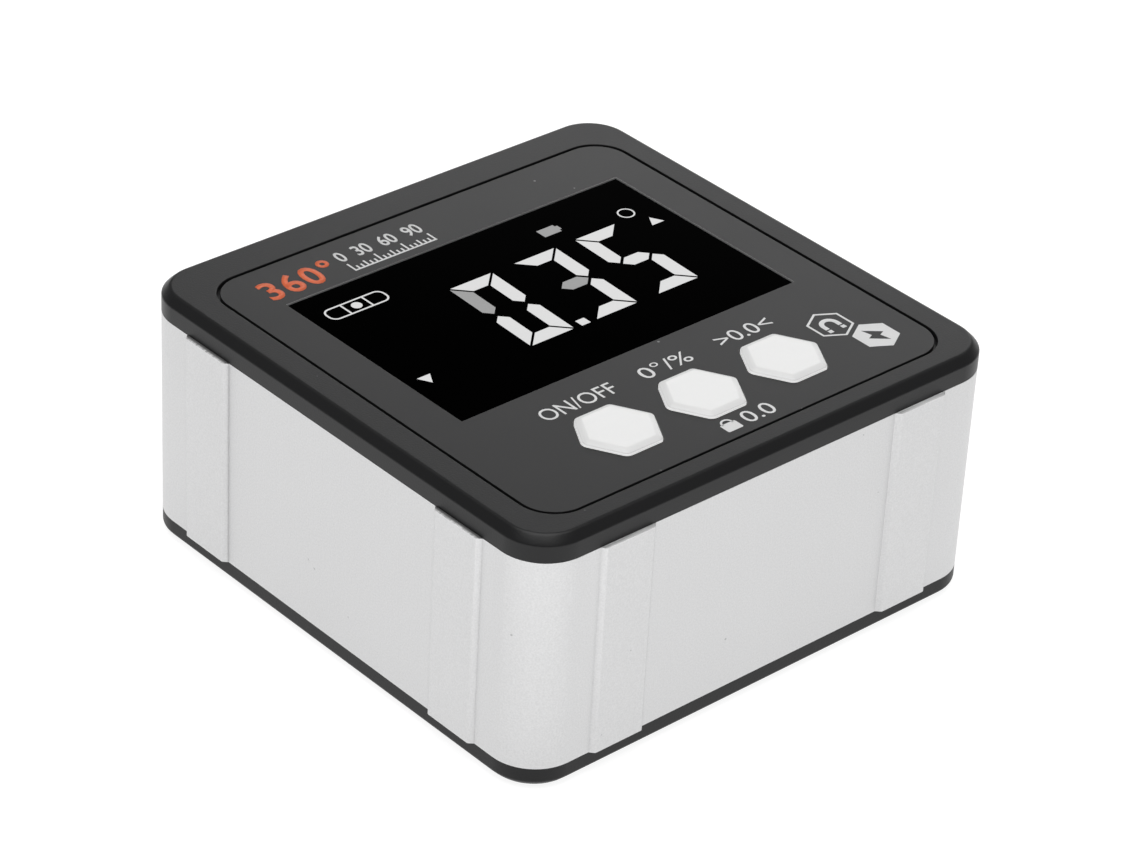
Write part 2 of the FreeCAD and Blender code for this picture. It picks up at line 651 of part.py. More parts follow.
def make_display():
    shift = "( contact_strip / 2 )"
    front = box("front_plate", GLASS_WIDTH, f"{GLASS_LENGTH} - contact_strip", "glass_thickness / 2",
                WINDOW_ACROSS, f"{WINDOW_PLACE} + {shift}", f"{PLATE_UNDER} - glass_thickness / 2")
    rear = box("rear_plate", GLASS_WIDTH, GLASS_LENGTH, "glass_thickness / 2",
               WINDOW_ACROSS, WINDOW_PLACE, GLASS_UNDER)
    glass = doc.addObject("Part::Fuse", "lcd_glass")
    glass.Label = "lcd_glass"
    glass.Base = front
    glass.Tool = rear
    light = box("backlight_panel", GLASS_WIDTH, f"{GLASS_LENGTH} - contact_strip - 2 * holder_gap",
                f"{GLASS_UNDER} - {BOARD_TOP}", WINDOW_ACROSS,
                f"{WINDOW_PLACE} + {shift} + holder_gap", BOARD_TOP)
    strip = box("contact_strip_rubber", f"{GLASS_WIDTH} - 2 * holder_wall", "contact_strip - holder_gap",
                f"{GLASS_UNDER} - {BOARD_TOP}", WINDOW_ACROSS,
                f"{WINDOW_PLACE} - {GLASS_LENGTH} / 2 + {shift} - holder_gap / 2", BOARD_TOP)
    holder = new_body("lcd_holder")
    room_x = f"( {GLASS_WIDTH} + 2 * holder_gap )"
    room_y = f"( {GLASS_LENGTH} + 2 * holder_gap )"
    walls = new_sketch(holder, "HolderOutline", BOARD_TOP)
    centred_rectangle(walls, f"{room_x} + 2 * holder_wall", f"{room_y} + 2 * holder_wall",
                      WINDOW_ACROSS, WINDOW_PLACE)
    pad(holder, walls, "HolderBlock", "pillar_height")
    room = new_sketch(holder, "HolderRoom", PLATE_UNDER)
    centred_rectangle(room, room_x, room_y, WINDOW_ACROSS, WINDOW_PLACE)
    pocket(holder, room, "HolderInside", "pillar_height")
    return [glass, light, strip, holder]


# Keys: a bevelled hexagonal cap on a flange, with a foot that meets the switch stem
STEM_TOP = f"( {PLATE_UNDER} - flange_gap - flange_thickness )"


def make_key(place, x):
    body = new_body("key_" + place)
    flange = new_sketch(body, "KeyFlange_" + place, STEM_TOP)
    hexagon(flange, "key_points + key_flange", x, KEY_ROW)
    pad(body, flange, "Flange_" + place, "flange_thickness")
    cap = new_sketch(body, "KeyCap_" + place, f"{PLATE_UNDER} - flange_gap")
    hexagon(cap, "key_points", x, KEY_ROW)
    cap_pad = pad(body, cap, "Cap_" + place, f"{OVERLAY_TOP} - {PLATE_UNDER} + flange_gap + key_rise")
    low = number(f"{PLATE_UNDER} - flange_gap")
    high = number(f"{OVERLAY_TOP} + key_rise")
    sides = edge_names(cap_pad, lambda edge: is_upright(edge) and
                       abs(edge.BoundBox.ZMin - low) < 1e-6 and abs(edge.BoundBox.ZMax - high) < 1e-6)
    rounded = rounding(body, "CapCorners_" + place, sides, "key_rounding")
    rim = body.newObject("PartDesign::Chamfer", "CapBevel_" + place)
    rim.Base = (rounded, edge_names(rounded, lambda edge: lies_at(edge, high)))
    rim.ChamferType = "Two distances"
    rim.setExpression("Size", size("key_bevel_height"))
    rim.setExpression("Size2", size("key_bevel"))
    doc.recompute()
    if abs(body.Shape.BoundBox.ZMax - high) > 1e-6 or top_area(body, high) > top_area(cap_pad, high):
        raise RuntimeError("the key top is not bevelled inwards")
    return body


def top_area(feature, height):
    """Area of the level faces at one height."""
    faces = [face for face in feature.Shape.Faces if lies_at(face, height)]
    return sum(face.Area for face in faces)


# Tact switches: a case with a bore and a stem that slides in it
def make_switch(place, x):
    case_end = f"( {BOARD_TOP} + switch_height )"
    case = new_body("switch_case_" + place)
    outline = new_sketch(case, "SwitchOutline_" + place, BOARD_TOP)
    centred_rectangle(outline, "switch_width", "switch_width", x, KEY_ROW)
    pad(case, outline, "SwitchBlock_" + place, "switch_height")
    bore = new_sketch(case, "SwitchBore_" + place, case_end)
    circle(bore, "stem_width + 2 * stem_gap", x, KEY_ROW)
    pocket(case, bore, "SwitchHole_" + place, "stem_depth + key_travel + stem_gap")
    stem = cylinder("switch_stem_" + place, "stem_width", f"{STEM_TOP} - {case_end} + stem_depth",
                    x, KEY_ROW, f"{case_end} - stem_depth")
    return [case, stem]


# Circuit board, notched round the screw posts, with a tab for the charging socket
def make_board():
    body = new_body("circuit_board")
    outline = new_sketch(body, "BoardOutline", BOARD_UNDER)
    half = f"{PANEL} - board_side"
    notch = f"{POST} - post_width / 2 - board_gap"
    tab = "board_tab_width / 2"
    tab_end = f"{PANEL} - wall - 4 * tongue_gap"
    polygon(outline, [
        (half, f"0 - ( {notch} )"), (half, f"0 - {tab}"), (tab_end, f"0 - {tab}"), (tab_end, tab),
        (half, tab), (half, notch), (notch, notch), (notch, half),
        (f"0 - ( {notch} )", half), (f"0 - ( {notch} )", notch), (f"0 - ( {half} )", notch),
        (f"0 - ( {half} )", f"0 - ( {notch} )"), (f"0 - ( {notch} )", f"0 - ( {notch} )"),
        (f"0 - ( {notch} )", f"0 - ( {half} )"), (notch, f"0 - ( {half} )"), (notch, f"0 - ( {notch} )"),
    ])
    pad(body, outline, "BoardSheet", "board_thickness")
    holes = new_sketch(body, "BoardHoles", BOARD_TOP)
    for x, y in PILLARS:
        circle(holes, "pillar_bore + 0.6", x, y)
    pocket(body, holes, "BoardScrewHoles", "board_thickness")
    return body


# Charging socket: an oval metal shell with a contact blade inside
SOCKET_MOUTH = f"( {PANEL} - plug_recess - port_gap / 2 )"


def make_socket():
    body = new_body("charging_socket")
    back = f"( {SOCKET_MOUTH} - socket_length )"
    shell = new_sketch(body, "ShellOutline", back, "YZ_Plane")
    rounded_rectangle(shell, "socket_width", "socket_height", "socket_height * 0.4", "0", SOCKET_MIDDLE)
    pad(body, shell, "Shell", "socket_length")
    inside = new_sketch(body, "ShellInside", SOCKET_MOUTH, "YZ_Plane")
    rounded_rectangle(inside, "socket_width - 2 * socket_shell", "socket_height - 2 * socket_shell",
                      "socket_height * 0.4 - socket_shell", "0", SOCKET_MIDDLE)
    pocket(body, inside, "ShellHollow", "socket_length - 4 * socket_shell")
    blade = new_sketch(body, "BladeOutline", back, "YZ_Plane")
    half = "socket_width * 0.375"
    thick = "socket_height * 0.11"
    rectangle(blade, f"0 - ( {half} )", half, f"{SOCKET_MIDDLE} - {thick}", f"{SOCKET_MIDDLE} + {thick}")
    pad(body, blade, "Blade", "socket_length - 3 * socket_shell")
    return body


# Rubber port plug: a flange in the wall's recess and a split oval insert
def make_port_plug():
    body = new_body("port_plug")
    seat = f"( {PANEL} - plug_recess )"
    height = "( socket_height + 2 * port_gap + 2 * plug_flange - 2 * plug_gap )"
    width = "( socket_width + 2 * port_gap + 2 * plug_flange - 2 * plug_gap )"
    flange = new_sketch(body, "PlugFlange", seat, "YZ_Plane")
    rounded_rectangle(flange, width, height, f"{height} * 0.48", "0", SOCKET_MIDDLE)
    pad(body, flange, "PlugFlangePad", "plug_thickness")
    insert = new_sketch(body, "PlugInsert", seat, "YZ_Plane")
    rounded_rectangle(insert, "socket_width - 2 * socket_shell - 2 * plug_gap",
                      "socket_height - 2 * socket_shell - 2 * plug_gap",
                      "socket_height * 0.4 - socket_shell - plug_gap", "0", SOCKET_MIDDLE)
    pad(body, insert, "PlugInsertPad", "plug_insert", backwards=True)
    slot = new_sketch(body, "PlugSlot", f"{seat} - plug_insert", "YZ_Plane")
    half = "( socket_width * 0.375 + plug_gap )"
    thick = "( socket_height * 0.11 + plug_gap )"
    rectangle(slot, f"0 - ( {half} )", half, f"{SOCKET_MIDDLE} - {thick}", f"{SOCKET_MIDDLE} + {thick}")
    pocket(body, slot, "PlugSlotCut", "plug_insert", forwards=True)
    return body


# Bar magnets behind the rails
def make_magnets():
    made = []
    behind = f"{PANEL} - wall - magnet_gap - magnet_depth / 2"
    bottom = "rear_height + ( body_height - magnet_length ) / 2"
    for side, along_x, sign in (("right", False, 1), ("left", False, -1),
                                ("top", True, 1), ("bottom", True, -1)):
        for end, shift in (("a", 1), ("b", -1)):
            out = f"{sign} * ( {behind} )"
            slide = f"{shift} * {RAIL_MIDDLE}"
            name = f"magnet_{side}_{end}"
            if along_x:
                magnet = box(name, "magnet_width", "magnet_depth", "magnet_length", slide, out, bottom)
            else:
                magnet = box(name, "magnet_depth", "magnet_width", "magnet_length", out, slide, bottom)
            made.append(magnet)
    return made


# Battery on its foam pad
def make_battery():
    foam = box("battery_foam", f"{BATTERY_WIDTH} - 4 * fence_wall", f"{BATTERY_LENGTH} - 4 * fence_wall",
               "foam_height", "0", "0", "rear_floor")
    body = new_body("battery")
    outline = new_sketch(body, "BatteryOutline", "rear_floor + foam_height")
    rounded_rectangle(outline, BATTERY_WIDTH, BATTERY_LENGTH, "fence_wall")
    pad(body, outline, "BatteryBlock", "battery_height")
    return [foam, body]


# Chips and other parts soldered under the board
def make_board_parts():
    parts = []
    # Width, length, height and place of each, in steps of the board's grid
    for name, *steps in (
        ("main_chip", 9, 9, 1.4, -6, 2),
        ("tilt_sensor", 4, 4, 1.2, -6, -10),
        ("charging_chip", 5, 4, 1.5, 13, 9),
        ("crystal", 7, 3.2, 2.8, -6, 11),
        ("battery_socket", 6, 4.5, 3.4, 8, -12),
    ):
        width, length, height, x, y = (f"{step} * board_grid" for step in steps)
        parts.append(box(name, width, length, height, x, y, f"{BOARD_UNDER} - {height}"))
    tiny = []
    grid = number("board_grid")
    for column in range(4):
        for line in range(2):
            chip = Part.makeBox(1.6 * grid, 0.8 * grid, 0.7 * grid)
            chip.translate(FreeCAD.Vector((4 + 3 * column) * grid, (1 + 3 * line) * grid,
                                          number(BOARD_UNDER) - 0.7 * grid))
            tiny.append(chip)
    parts.append(group("board_capacitors", tiny))
    return parts


# Screws
SCREW_SIDES = 16


def turned(profile):
    """A screw with as many flat sides as SCREW_SIDES, from its outline of radius and height."""
    rings = []
    for radius, height in profile:
        turns = [2 * math.pi * side / SCREW_SIDES for side in range(SCREW_SIDES)]
        rings.append([FreeCAD.Vector(radius * math.cos(turn), radius * math.sin(turn), height)
                      for turn in turns])
    walls = [Part.Face(Part.makePolygon(ring + ring[:1])) for ring in (rings[0], rings[-1])]
    for high, low in zip(rings, rings[1:]):
        for side in range(SCREW_SIDES):
            following = (side + 1) % SCREW_SIDES
            corners = [high[side], high[following], low[following], low[side], high[side]]
            walls.append(Part.Face(Part.makePolygon(corners)))
    return Part.makeSolid(Part.makeShell(walls))


def flat_head_screw():
    """A countersunk screw, pointing down, with the top of its head at height zero."""
    shank = number("screw_width") / 2
    head = number("screw_head") / 2
    length = number("screw_length")
    return turned([(head, 0), (shank, shank - head), (shank, -length)])


def cross_recess(screw):
    """Cut a cross into the head of a screw that points down."""
    top = screw.BoundBox.ZMax
    long = number("screw_head * 0.6")
    narrow = long / 4
    deep = long / 4
    for width, length in ((long, narrow), (narrow, long)):
        bar = Part.makeBox(width, length, deep)
        bar.translate(FreeCAD.Vector(-width / 2, -length / 2, top - deep))
        screw = screw.cut(bar)
    return screw


def pan_head_screw():
    """A board screw, pointing down, with the seat of its head at height zero."""
    bore = number("pillar_bore")
    shank = bore / 2 - number("thread_gap")
    rise = bore * 0.75
    length = number("board_thickness + pillar_height * 0.7")
    return turned([(bore, rise), (bore, 0), (shank, 0), (shank, -length)])


def place_screw(screw, x, y, height, upwards):
    screw = screw.copy()
    if upwards:
        screw.rotate(FreeCAD.Vector(), FreeCAD.Vector(1, 0, 0), 180)
    screw.translate(FreeCAD.Vector(number(x), number(y), number(height)))
    return screw


def make_screws():
    corners = [(f"{sign_x} * {POST}", f"{sign_y} * {POST}") for sign_x, sign_y in CORNERS]
    plain = flat_head_screw()
    crossed = cross_recess(plain)
    front = [place_screw(plain, x, y, PLATE_TOP, False) for x, y in corners]
    rear = [place_screw(crossed, x, y, "0", True) for x, y in corners]
    board = [place_screw(pan_head_screw(), x, y, BOARD_UNDER, True) for x, y in PILLARS]
    return [group("front_screws", front), group("rear_screws", rear), group("board_screws", board)]


subparts = [make_extrusion(), make_bezel(), make_rear_cover()]
subparts.append(make_seal("front_seal", BODY_END))
subparts.append(make_seal("rear_seal", "rear_height - seal_depth"))
subparts.append(make_overlay())
subparts.append(make_window())
subparts += make_display()
for place, x in KEY_PLACES:
    subparts.append(make_key(place, x))
    subparts += make_switch(place, x)
subparts.append(make_board())
subparts.append(make_socket())
subparts.append(make_port_plug())
subparts += make_magnets()
subparts += make_battery()
subparts += make_board_parts()
subparts += make_screws()
doc.recompute()

# Every object must be sound before anything is written
for item in doc.Objects:
    if "Invalid" in item.State or "Error" in item.State:
        raise RuntimeError(f"{item.Label} failed: {item.State}")
for item in subparts:
    if item.Shape.isNull() or not item.Shape.isValid():
        raise RuntimeError(f"{item.Label} has no sound shape")
for item in subparts:
    item.Shape.exportStep(f"parts/{item.Label}.step")
    print(item.Label, round(item.Shape.Volume, 1), len(item.Shape.Solids))
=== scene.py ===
# The looks of the digital inclinometer: finishes, softened edges, printed legends and the lit
# display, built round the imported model. The frame is in metres, so lengths in millimetres are
# multiplied by MM.

import json
import math

import bmesh
import bpy
from mathutils import Matrix, Vector


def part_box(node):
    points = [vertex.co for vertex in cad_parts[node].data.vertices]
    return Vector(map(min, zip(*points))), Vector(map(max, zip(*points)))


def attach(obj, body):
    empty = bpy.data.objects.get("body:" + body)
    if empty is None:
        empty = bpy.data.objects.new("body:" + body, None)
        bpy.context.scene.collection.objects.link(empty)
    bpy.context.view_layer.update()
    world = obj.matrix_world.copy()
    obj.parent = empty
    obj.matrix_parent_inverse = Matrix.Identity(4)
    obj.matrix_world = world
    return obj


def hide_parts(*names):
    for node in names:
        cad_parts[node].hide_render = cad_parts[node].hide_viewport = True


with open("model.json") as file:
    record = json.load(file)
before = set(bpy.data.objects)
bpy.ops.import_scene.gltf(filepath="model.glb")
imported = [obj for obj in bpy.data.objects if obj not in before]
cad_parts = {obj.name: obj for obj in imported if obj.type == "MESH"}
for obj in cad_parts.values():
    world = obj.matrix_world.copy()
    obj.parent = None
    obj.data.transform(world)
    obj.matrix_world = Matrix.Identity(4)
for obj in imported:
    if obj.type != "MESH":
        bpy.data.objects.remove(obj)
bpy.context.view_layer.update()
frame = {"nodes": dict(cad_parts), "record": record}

MM = 0.001


# Camera
FOCAL_PIXELS = 4091.65
PHOTO_WIDTH = 1140
SENSOR_WIDTH = 36


def place_camera():
    """Stand the camera where the photograph was taken from."""
    azimuth = math.radians(-42.966)
    elevation = math.radians(32.314)
    roll = math.radians(3.181)
    distance = 410.025 * MM
    target = Vector((0.953, 0.072, 14.35)) * MM
    back = Vector((math.sin(azimuth) * math.cos(elevation),
                   -math.cos(azimuth) * math.cos(elevation),
                   math.sin(elevation)))
    level = Vector((math.cos(azimuth), math.sin(azimuth), 0))
    upright = back.cross(level)
    right = level * math.cos(roll) + upright * math.sin(roll)
    up = upright * math.cos(roll) - level * math.sin(roll)
    bpy.ops.object.camera_add(location=target + back * distance)
    camera = bpy.context.object
    camera.name = "photograph_view"
    camera.rotation_euler = Matrix((right, up, back)).transposed().to_euler()
    camera.data.sensor_width = SENSOR_WIDTH
    camera.data.lens = FOCAL_PIXELS / PHOTO_WIDTH * SENSOR_WIDTH
    camera.data.clip_start = 0.01
    bpy.context.scene.camera = camera


bpy.ops.object.select_all(action="DESELECT")
place_camera()


# Effects that several finishes share, as shader node groups
def connect(tree, value, socket):
    """Link a node's output to the socket, or set the socket to a plain value."""
    if isinstance(value, bpy.types.NodeSocket):
        tree.links.new(value, socket)
    else:
        socket.default_value = value


def new_group(name, inputs, outputs):
    """An empty group with named sockets, and what comes into it and leaves it."""
    group = bpy.data.node_groups.new(name, "ShaderNodeTree")
    for socket, kind, value in inputs:
        made = group.interface.new_socket(socket, in_out="INPUT", socket_type=kind)
        made.default_value = value
    for socket, kind in outputs:
        group.interface.new_socket(socket, in_out="OUTPUT", socket_type=kind)
    entry = group.nodes.new("NodeGroupInput")
    leave = group.nodes.new("NodeGroupOutput")
    return group, entry.outputs, leave.inputs


def calculate(tree, operation, first, second, clamp=False):
    node = tree.nodes.new("ShaderNodeMath")
    node.operation = operation
    node.use_clamp = clamp
    for socket, value in zip(node.inputs, (first, second)):
        connect(tree, value, socket)
    return node.outputs[0]


def ramp(tree, value, low, high):
    """0 where the value is at low and 1 where it is at high."""
    node = tree.nodes.new("ShaderNodeMapRange")
    connect(tree, value, node.inputs["Value"])
    connect(tree, low, node.inputs["From Min"])
    connect(tree, high, node.inputs["From Max"])
    return node.outputs[0]


def noise(tree, vector, scale, detail=2.0):
    node = tree.nodes.new("ShaderNodeTexNoise")
    connect(tree, vector, node.inputs["Vector"])
    connect(tree, scale, node.inputs["Scale"])
    node.inputs["Detail"].default_value = detail
    return node.outputs[0]


def object_place(tree):
    return tree.nodes.new("ShaderNodeTexCoord").outputs["Object"]


def split(tree, vector):
    """The X, Y and Z of a vector."""
    node = tree.nodes.new("ShaderNodeSeparateXYZ")
    connect(tree, vector, node.inputs[0])
    return node.outputs


def facing(tree):
    """The X, Y and Z of the way that the surface faces."""
    return split(tree, tree.nodes.new("ShaderNodeTexCoord").outputs["Normal"])


def combine(tree, operation, first, second):
    """A vector node's result from two inputs."""
    node = tree.nodes.new("ShaderNodeVectorMath")
    node.operation = operation
    connect(tree, first, node.inputs[0])
    connect(tree, second, node.inputs["Scale"] if operation == "SCALE" else node.inputs[1])
    return node.outputs["Value"] if operation == "DOT_PRODUCT" else node.outputs["Vector"]


def stretched_place(tree, scale, turn=0.0):
    """Object coordinates, stretched and turned about Z."""
    node = tree.nodes.new("ShaderNodeMapping")
    node.inputs["Rotation"].default_value = (0, 0, turn)
    node.inputs["Scale"].default_value = scale
    connect(tree, object_place(tree), node.inputs["Vector"])
    return node.outputs[0]


def specks(tree, place, scale, size):
    """1 inside a small ball in each cell, 0 elsewhere."""
    cells = tree.nodes.new("ShaderNodeTexVoronoi")
    connect(tree, place, cells.inputs["Vector"])
    connect(tree, scale, cells.inputs["Scale"])
    return calculate(tree, "LESS_THAN", cells.outputs["Distance"], size)


def make_grain_group():
    """Fine moulded or blasted grain: a value round 0.5 whose spread is Depth."""
    group, given, made = new_group("fine_grain", [
        ("Scale", "NodeSocketFloat", 6000.0),
        ("Depth", "NodeSocketFloat", 0.5),
    ], [("Grain", "NodeSocketFloat")])
    fine = noise(group, object_place(group), given["Scale"], 3.0)
    centred = calculate(group, "SUBTRACT", fine, 0.5)
    deep = calculate(group, "MULTIPLY", centred, given["Depth"])
    connect(group, calculate(group, "ADD", deep, 0.5), made["Grain"])
    return group


def make_patch_group():
    """Broad, faint unevenness as hands and moulding leave it: a value from 0 to 1."""
    group, given, made = new_group("uneven_sheen", [
        ("Scale", "NodeSocketFloat", 90.0),
    ], [("Patch", "NodeSocketFloat")])
    broad = noise(group, object_place(group), given["Scale"], 4.0)
    connect(group, ramp(group, broad, 0.3, 0.7), made["Patch"])
    return group


def make_worn_and_highlit_edge_group():
    """Edges scuffed by handling, and edges that carry a painted highlight: 1 along an edge, 0 on
    flat faces.
    """
    group, given, made = new_group("worn_and_highlit_edges", [
        ("Reach", "NodeSocketFloat", 0.2 * MM),
        ("Gain", "NodeSocketFloat", 1.0),
    ], [("Mask", "NodeSocketFloat")])
    rounded = group.nodes.new("ShaderNodeBevel")
    rounded.samples = 4
    connect(group, given["Reach"], rounded.inputs["Radius"])
    plain = group.nodes.new("ShaderNodeNewGeometry").outputs["Normal"]
    turn = combine(group, "DOT_PRODUCT", rounded.outputs[0], plain)
    sharp = ramp(group, turn, 0.995, 0.9)
    patchy = ramp(group, noise(group, object_place(group), 700.0, 3.0), 0.3, 0.65)
    strong = calculate(group, "MULTIPLY", sharp, given["Gain"], True)
    connect(group, calculate(group, "MULTIPLY", strong, patchy, True), made["Mask"])
    return group


def make_crease_shade_group():
    """Painted shade in inside corners, where little light comes: 1 in the crease, 0 outside."""
    group, given, made = new_group("painted_crease_shade", [
        ("Reach", "NodeSocketFloat", 0.6 * MM),
    ], [("Mask", "NodeSocketFloat")])
    open_sky = group.nodes.new("ShaderNodeAmbientOcclusion")
    open_sky.samples = 6
    open_sky.only_local = True
    connect(group, given["Reach"], open_sky.inputs["Distance"])
    connect(group, ramp(group, open_sky.outputs["AO"], 0.98, 0.8), made["Mask"])
    return group


def make_dust_group():
    """Sparse specks of dust: 1 on a speck, 0 elsewhere."""
    group, given, made = new_group("stray_dust", [
        ("Scale", "NodeSocketFloat", 260.0),
        ("Size", "NodeSocketFloat", 0.035),
    ], [("Mask", "NodeSocketFloat")])
    place = object_place(group)
    speck = specks(group, place, given["Scale"], given["Size"])
    chance = ramp(group, noise(group, place, 120.0), 0.56, 0.6)
    connect(group, calculate(group, "MULTIPLY", speck, chance, True), made["Mask"])
    return group


def make_draw_group():
    """Faint lines that drawing through the die leaves along the extrusion."""
    group, given, made = new_group("drawn_lines", [
        ("Scale", "NodeSocketFloat", 1400.0),
    ], [("Line", "NodeSocketFloat")])
    along = stretched_place(group, (1.0, 1.0, 0.012))
    connect(group, noise(group, along, given["Scale"]), made["Line"])
    return group


def make_sawn_group():
    """Faces that the saw left, square to the extrusion.

    Mask is 1 on them and Streak follows the saw. The third output is 0 in a band of painted shade
    on the left side's ends, which face away from the light, and 1 on their rim and on the other
    sides.
    """
    group, given, made = new_group("sawn_ends", [
        ("Scale", "NodeSocketFloat", 900.0),
    ], [("Mask", "NodeSocketFloat"), ("Streak", "NodeSocketFloat"), ("Unshaded", "NodeSocketFloat")])
    level = calculate(group, "ABSOLUTE", facing(group)["Z"], 0.0)
    connect(group, ramp(group, level, 0.7, 0.8), made["Mask"])
    across = noise(group, stretched_place(group, (0.2, 3.0, 1.0), 0.06), given["Scale"])
    connect(group, ramp(group, across, 0.3, 0.7), made["Streak"])
    sideways = split(group, object_place(group))["X"]
    past_band = ramp(group, sideways, -29.9 * MM, -29.6 * MM)
    rim = ramp(group, sideways, -30.15 * MM, -30.4 * MM)
    connect(group, calculate(group, "ADD", past_band, rim, True), made["Unshaded"])
    return group


def make_pit_group():
    """Small dark pits and specks, far apart: 1 in a pit, 0 elsewhere."""
    group, given, made = new_group("small_pits", [
        ("Scale", "NodeSocketFloat", 420.0),
        ("Size", "NodeSocketFloat", 0.05),
    ], [("Mask", "NodeSocketFloat")])
    place = object_place(group)
    wobble = group.nodes.new("ShaderNodeTexNoise")
    connect(group, place, wobble.inputs["Vector"])
    wobble.inputs["Scale"].default_value = 1500.0
    push = combine(group, "SCALE", wobble.outputs["Color"], 0.35 * MM)
    speck = specks(group, combine(group, "ADD", place, push), given["Scale"], given["Size"])
    chance = ramp(group, noise(group, place, 170.0), 0.55, 0.6)
    connect(group, calculate(group, "MULTIPLY", speck, chance, True), made["Mask"])
    return group


def make_key_shade_group():
    """The ring round a key's top, for painted shade and a painted glow: Mask is 1 on its slope,
    Side is 1 on its upright sides.
    """
    group, given, made = new_group("key_painted_shade_and_glow", [
        ("Level", "NodeSocketFloat", 0.985),
    ], [("Mask", "NodeSocketFloat"), ("Side", "NodeSocketFloat")])
    upwards = facing(group)["Z"]
    off_flat = ramp(group, calculate(group, "SUBTRACT", given["Level"], upwards), 0.0, 0.05)
    not_upright = ramp(group, upwards, 0.3, 0.6)
    connect(group, calculate(group, "MULTIPLY", off_flat, not_upright, True), made["Mask"])
    connect(group, calculate(group, "SUBTRACT", 1.0, not_upright, True), made["Side"])
    return group


FINE_GRAIN = make_grain_group()
SAWN_ENDS = make_sawn_group()
CREASE_SHADE = make_crease_shade_group()
SMALL_PITS = make_pit_group()
UNEVEN_SHEEN = make_patch_group()
WORN_AND_HIGHLIT_EDGES = make_worn_and_highlit_edge_group()
STRAY_DUST = make_dust_group()
DRAWN_LINES = make_draw_group()
KEY_SHADE_AND_GLOW = make_key_shade_group()


def use_group(tree, group, **values):
    """Place a shared effect with its own values, and give its outputs by name."""
    node = tree.nodes.new("ShaderNodeGroup")
    node.node_tree = group
    for name, value in values.items():
        connect(tree, value, node.inputs[name])
    return node.outputs


def mix_colour(tree, share, first, second):
    """The first colour where share is 0 and the second where it is 1."""
    node = tree.nodes.new("ShaderNodeMix")
    node.data_type = "RGBA"
    connect(tree, share, node.inputs["Factor"])
    connect(tree, first, node.inputs["A"])
    connect(tree, second, node.inputs["B"])
    return node.outputs["Result"]


def shade(colour, factor):
    return (colour[0] * factor, colour[1] * factor, colour[2] * factor, 1.0)


def lay_over(tree, mask, strength, tone, cover):
    """Cover the tone with another colour where the mask is, at the given strength."""
    return mix_colour(tree, calculate(tree, "MULTIPLY", mask, strength), tone, cover)


def extruded_tone(tree, tone, colour):
    """The extrusion's faint drawn lines, small pits and painted shade in its creases."""
    line = use_group(tree, DRAWN_LINES, Scale=1400.0)["Line"]
    tone = lay_over(tree, line, 0.1, tone, shade(colour, 0.85))
    pits = use_group(tree, SMALL_PITS, Scale=420.0, Size=0.05)["Mask"]
    tone = lay_over(tree, pits, 0.5, tone, shade(colour, 0.4))
    creases = use_group(tree, CREASE_SHADE, Reach=0.6 * MM)["Mask"]
    # Painted shade: the creases are darkened where little light reaches them.
    return lay_over(tree, creases, 0.09, tone, shade(colour, 0.5))


def sawn_finish(tree, shader, tone, rough, colour, metallic):
    """The extrusion's cut ends: streaky, rougher and less metallic than its sides, with painted
    shade on the left side's ends.
    """
    sawn = use_group(tree, SAWN_ENDS)
    streaky = mix_colour(tree, sawn["Streak"], shade(colour, 0.75), (0.99, 0.99, 0.99, 1.0))
    # Painted shade: the left side's ends are darkened in a band.
    streaky = mix_colour(tree, sawn["Unshaded"], shade(colour, 0.28), streaky)
    bare = calculate(tree, "MULTIPLY", sawn["Mask"], -0.7)
    connect(tree, calculate(tree, "ADD", bare, metallic, True), shader.inputs["Metallic"])
    rougher = calculate(tree, "MULTIPLY", sawn["Mask"], 0.3)
    return (mix_colour(tree, sawn["Mask"], tone, streaky),
            calculate(tree, "ADD", rougher, rough, True))


SHEEN_CHANGE = 0.02


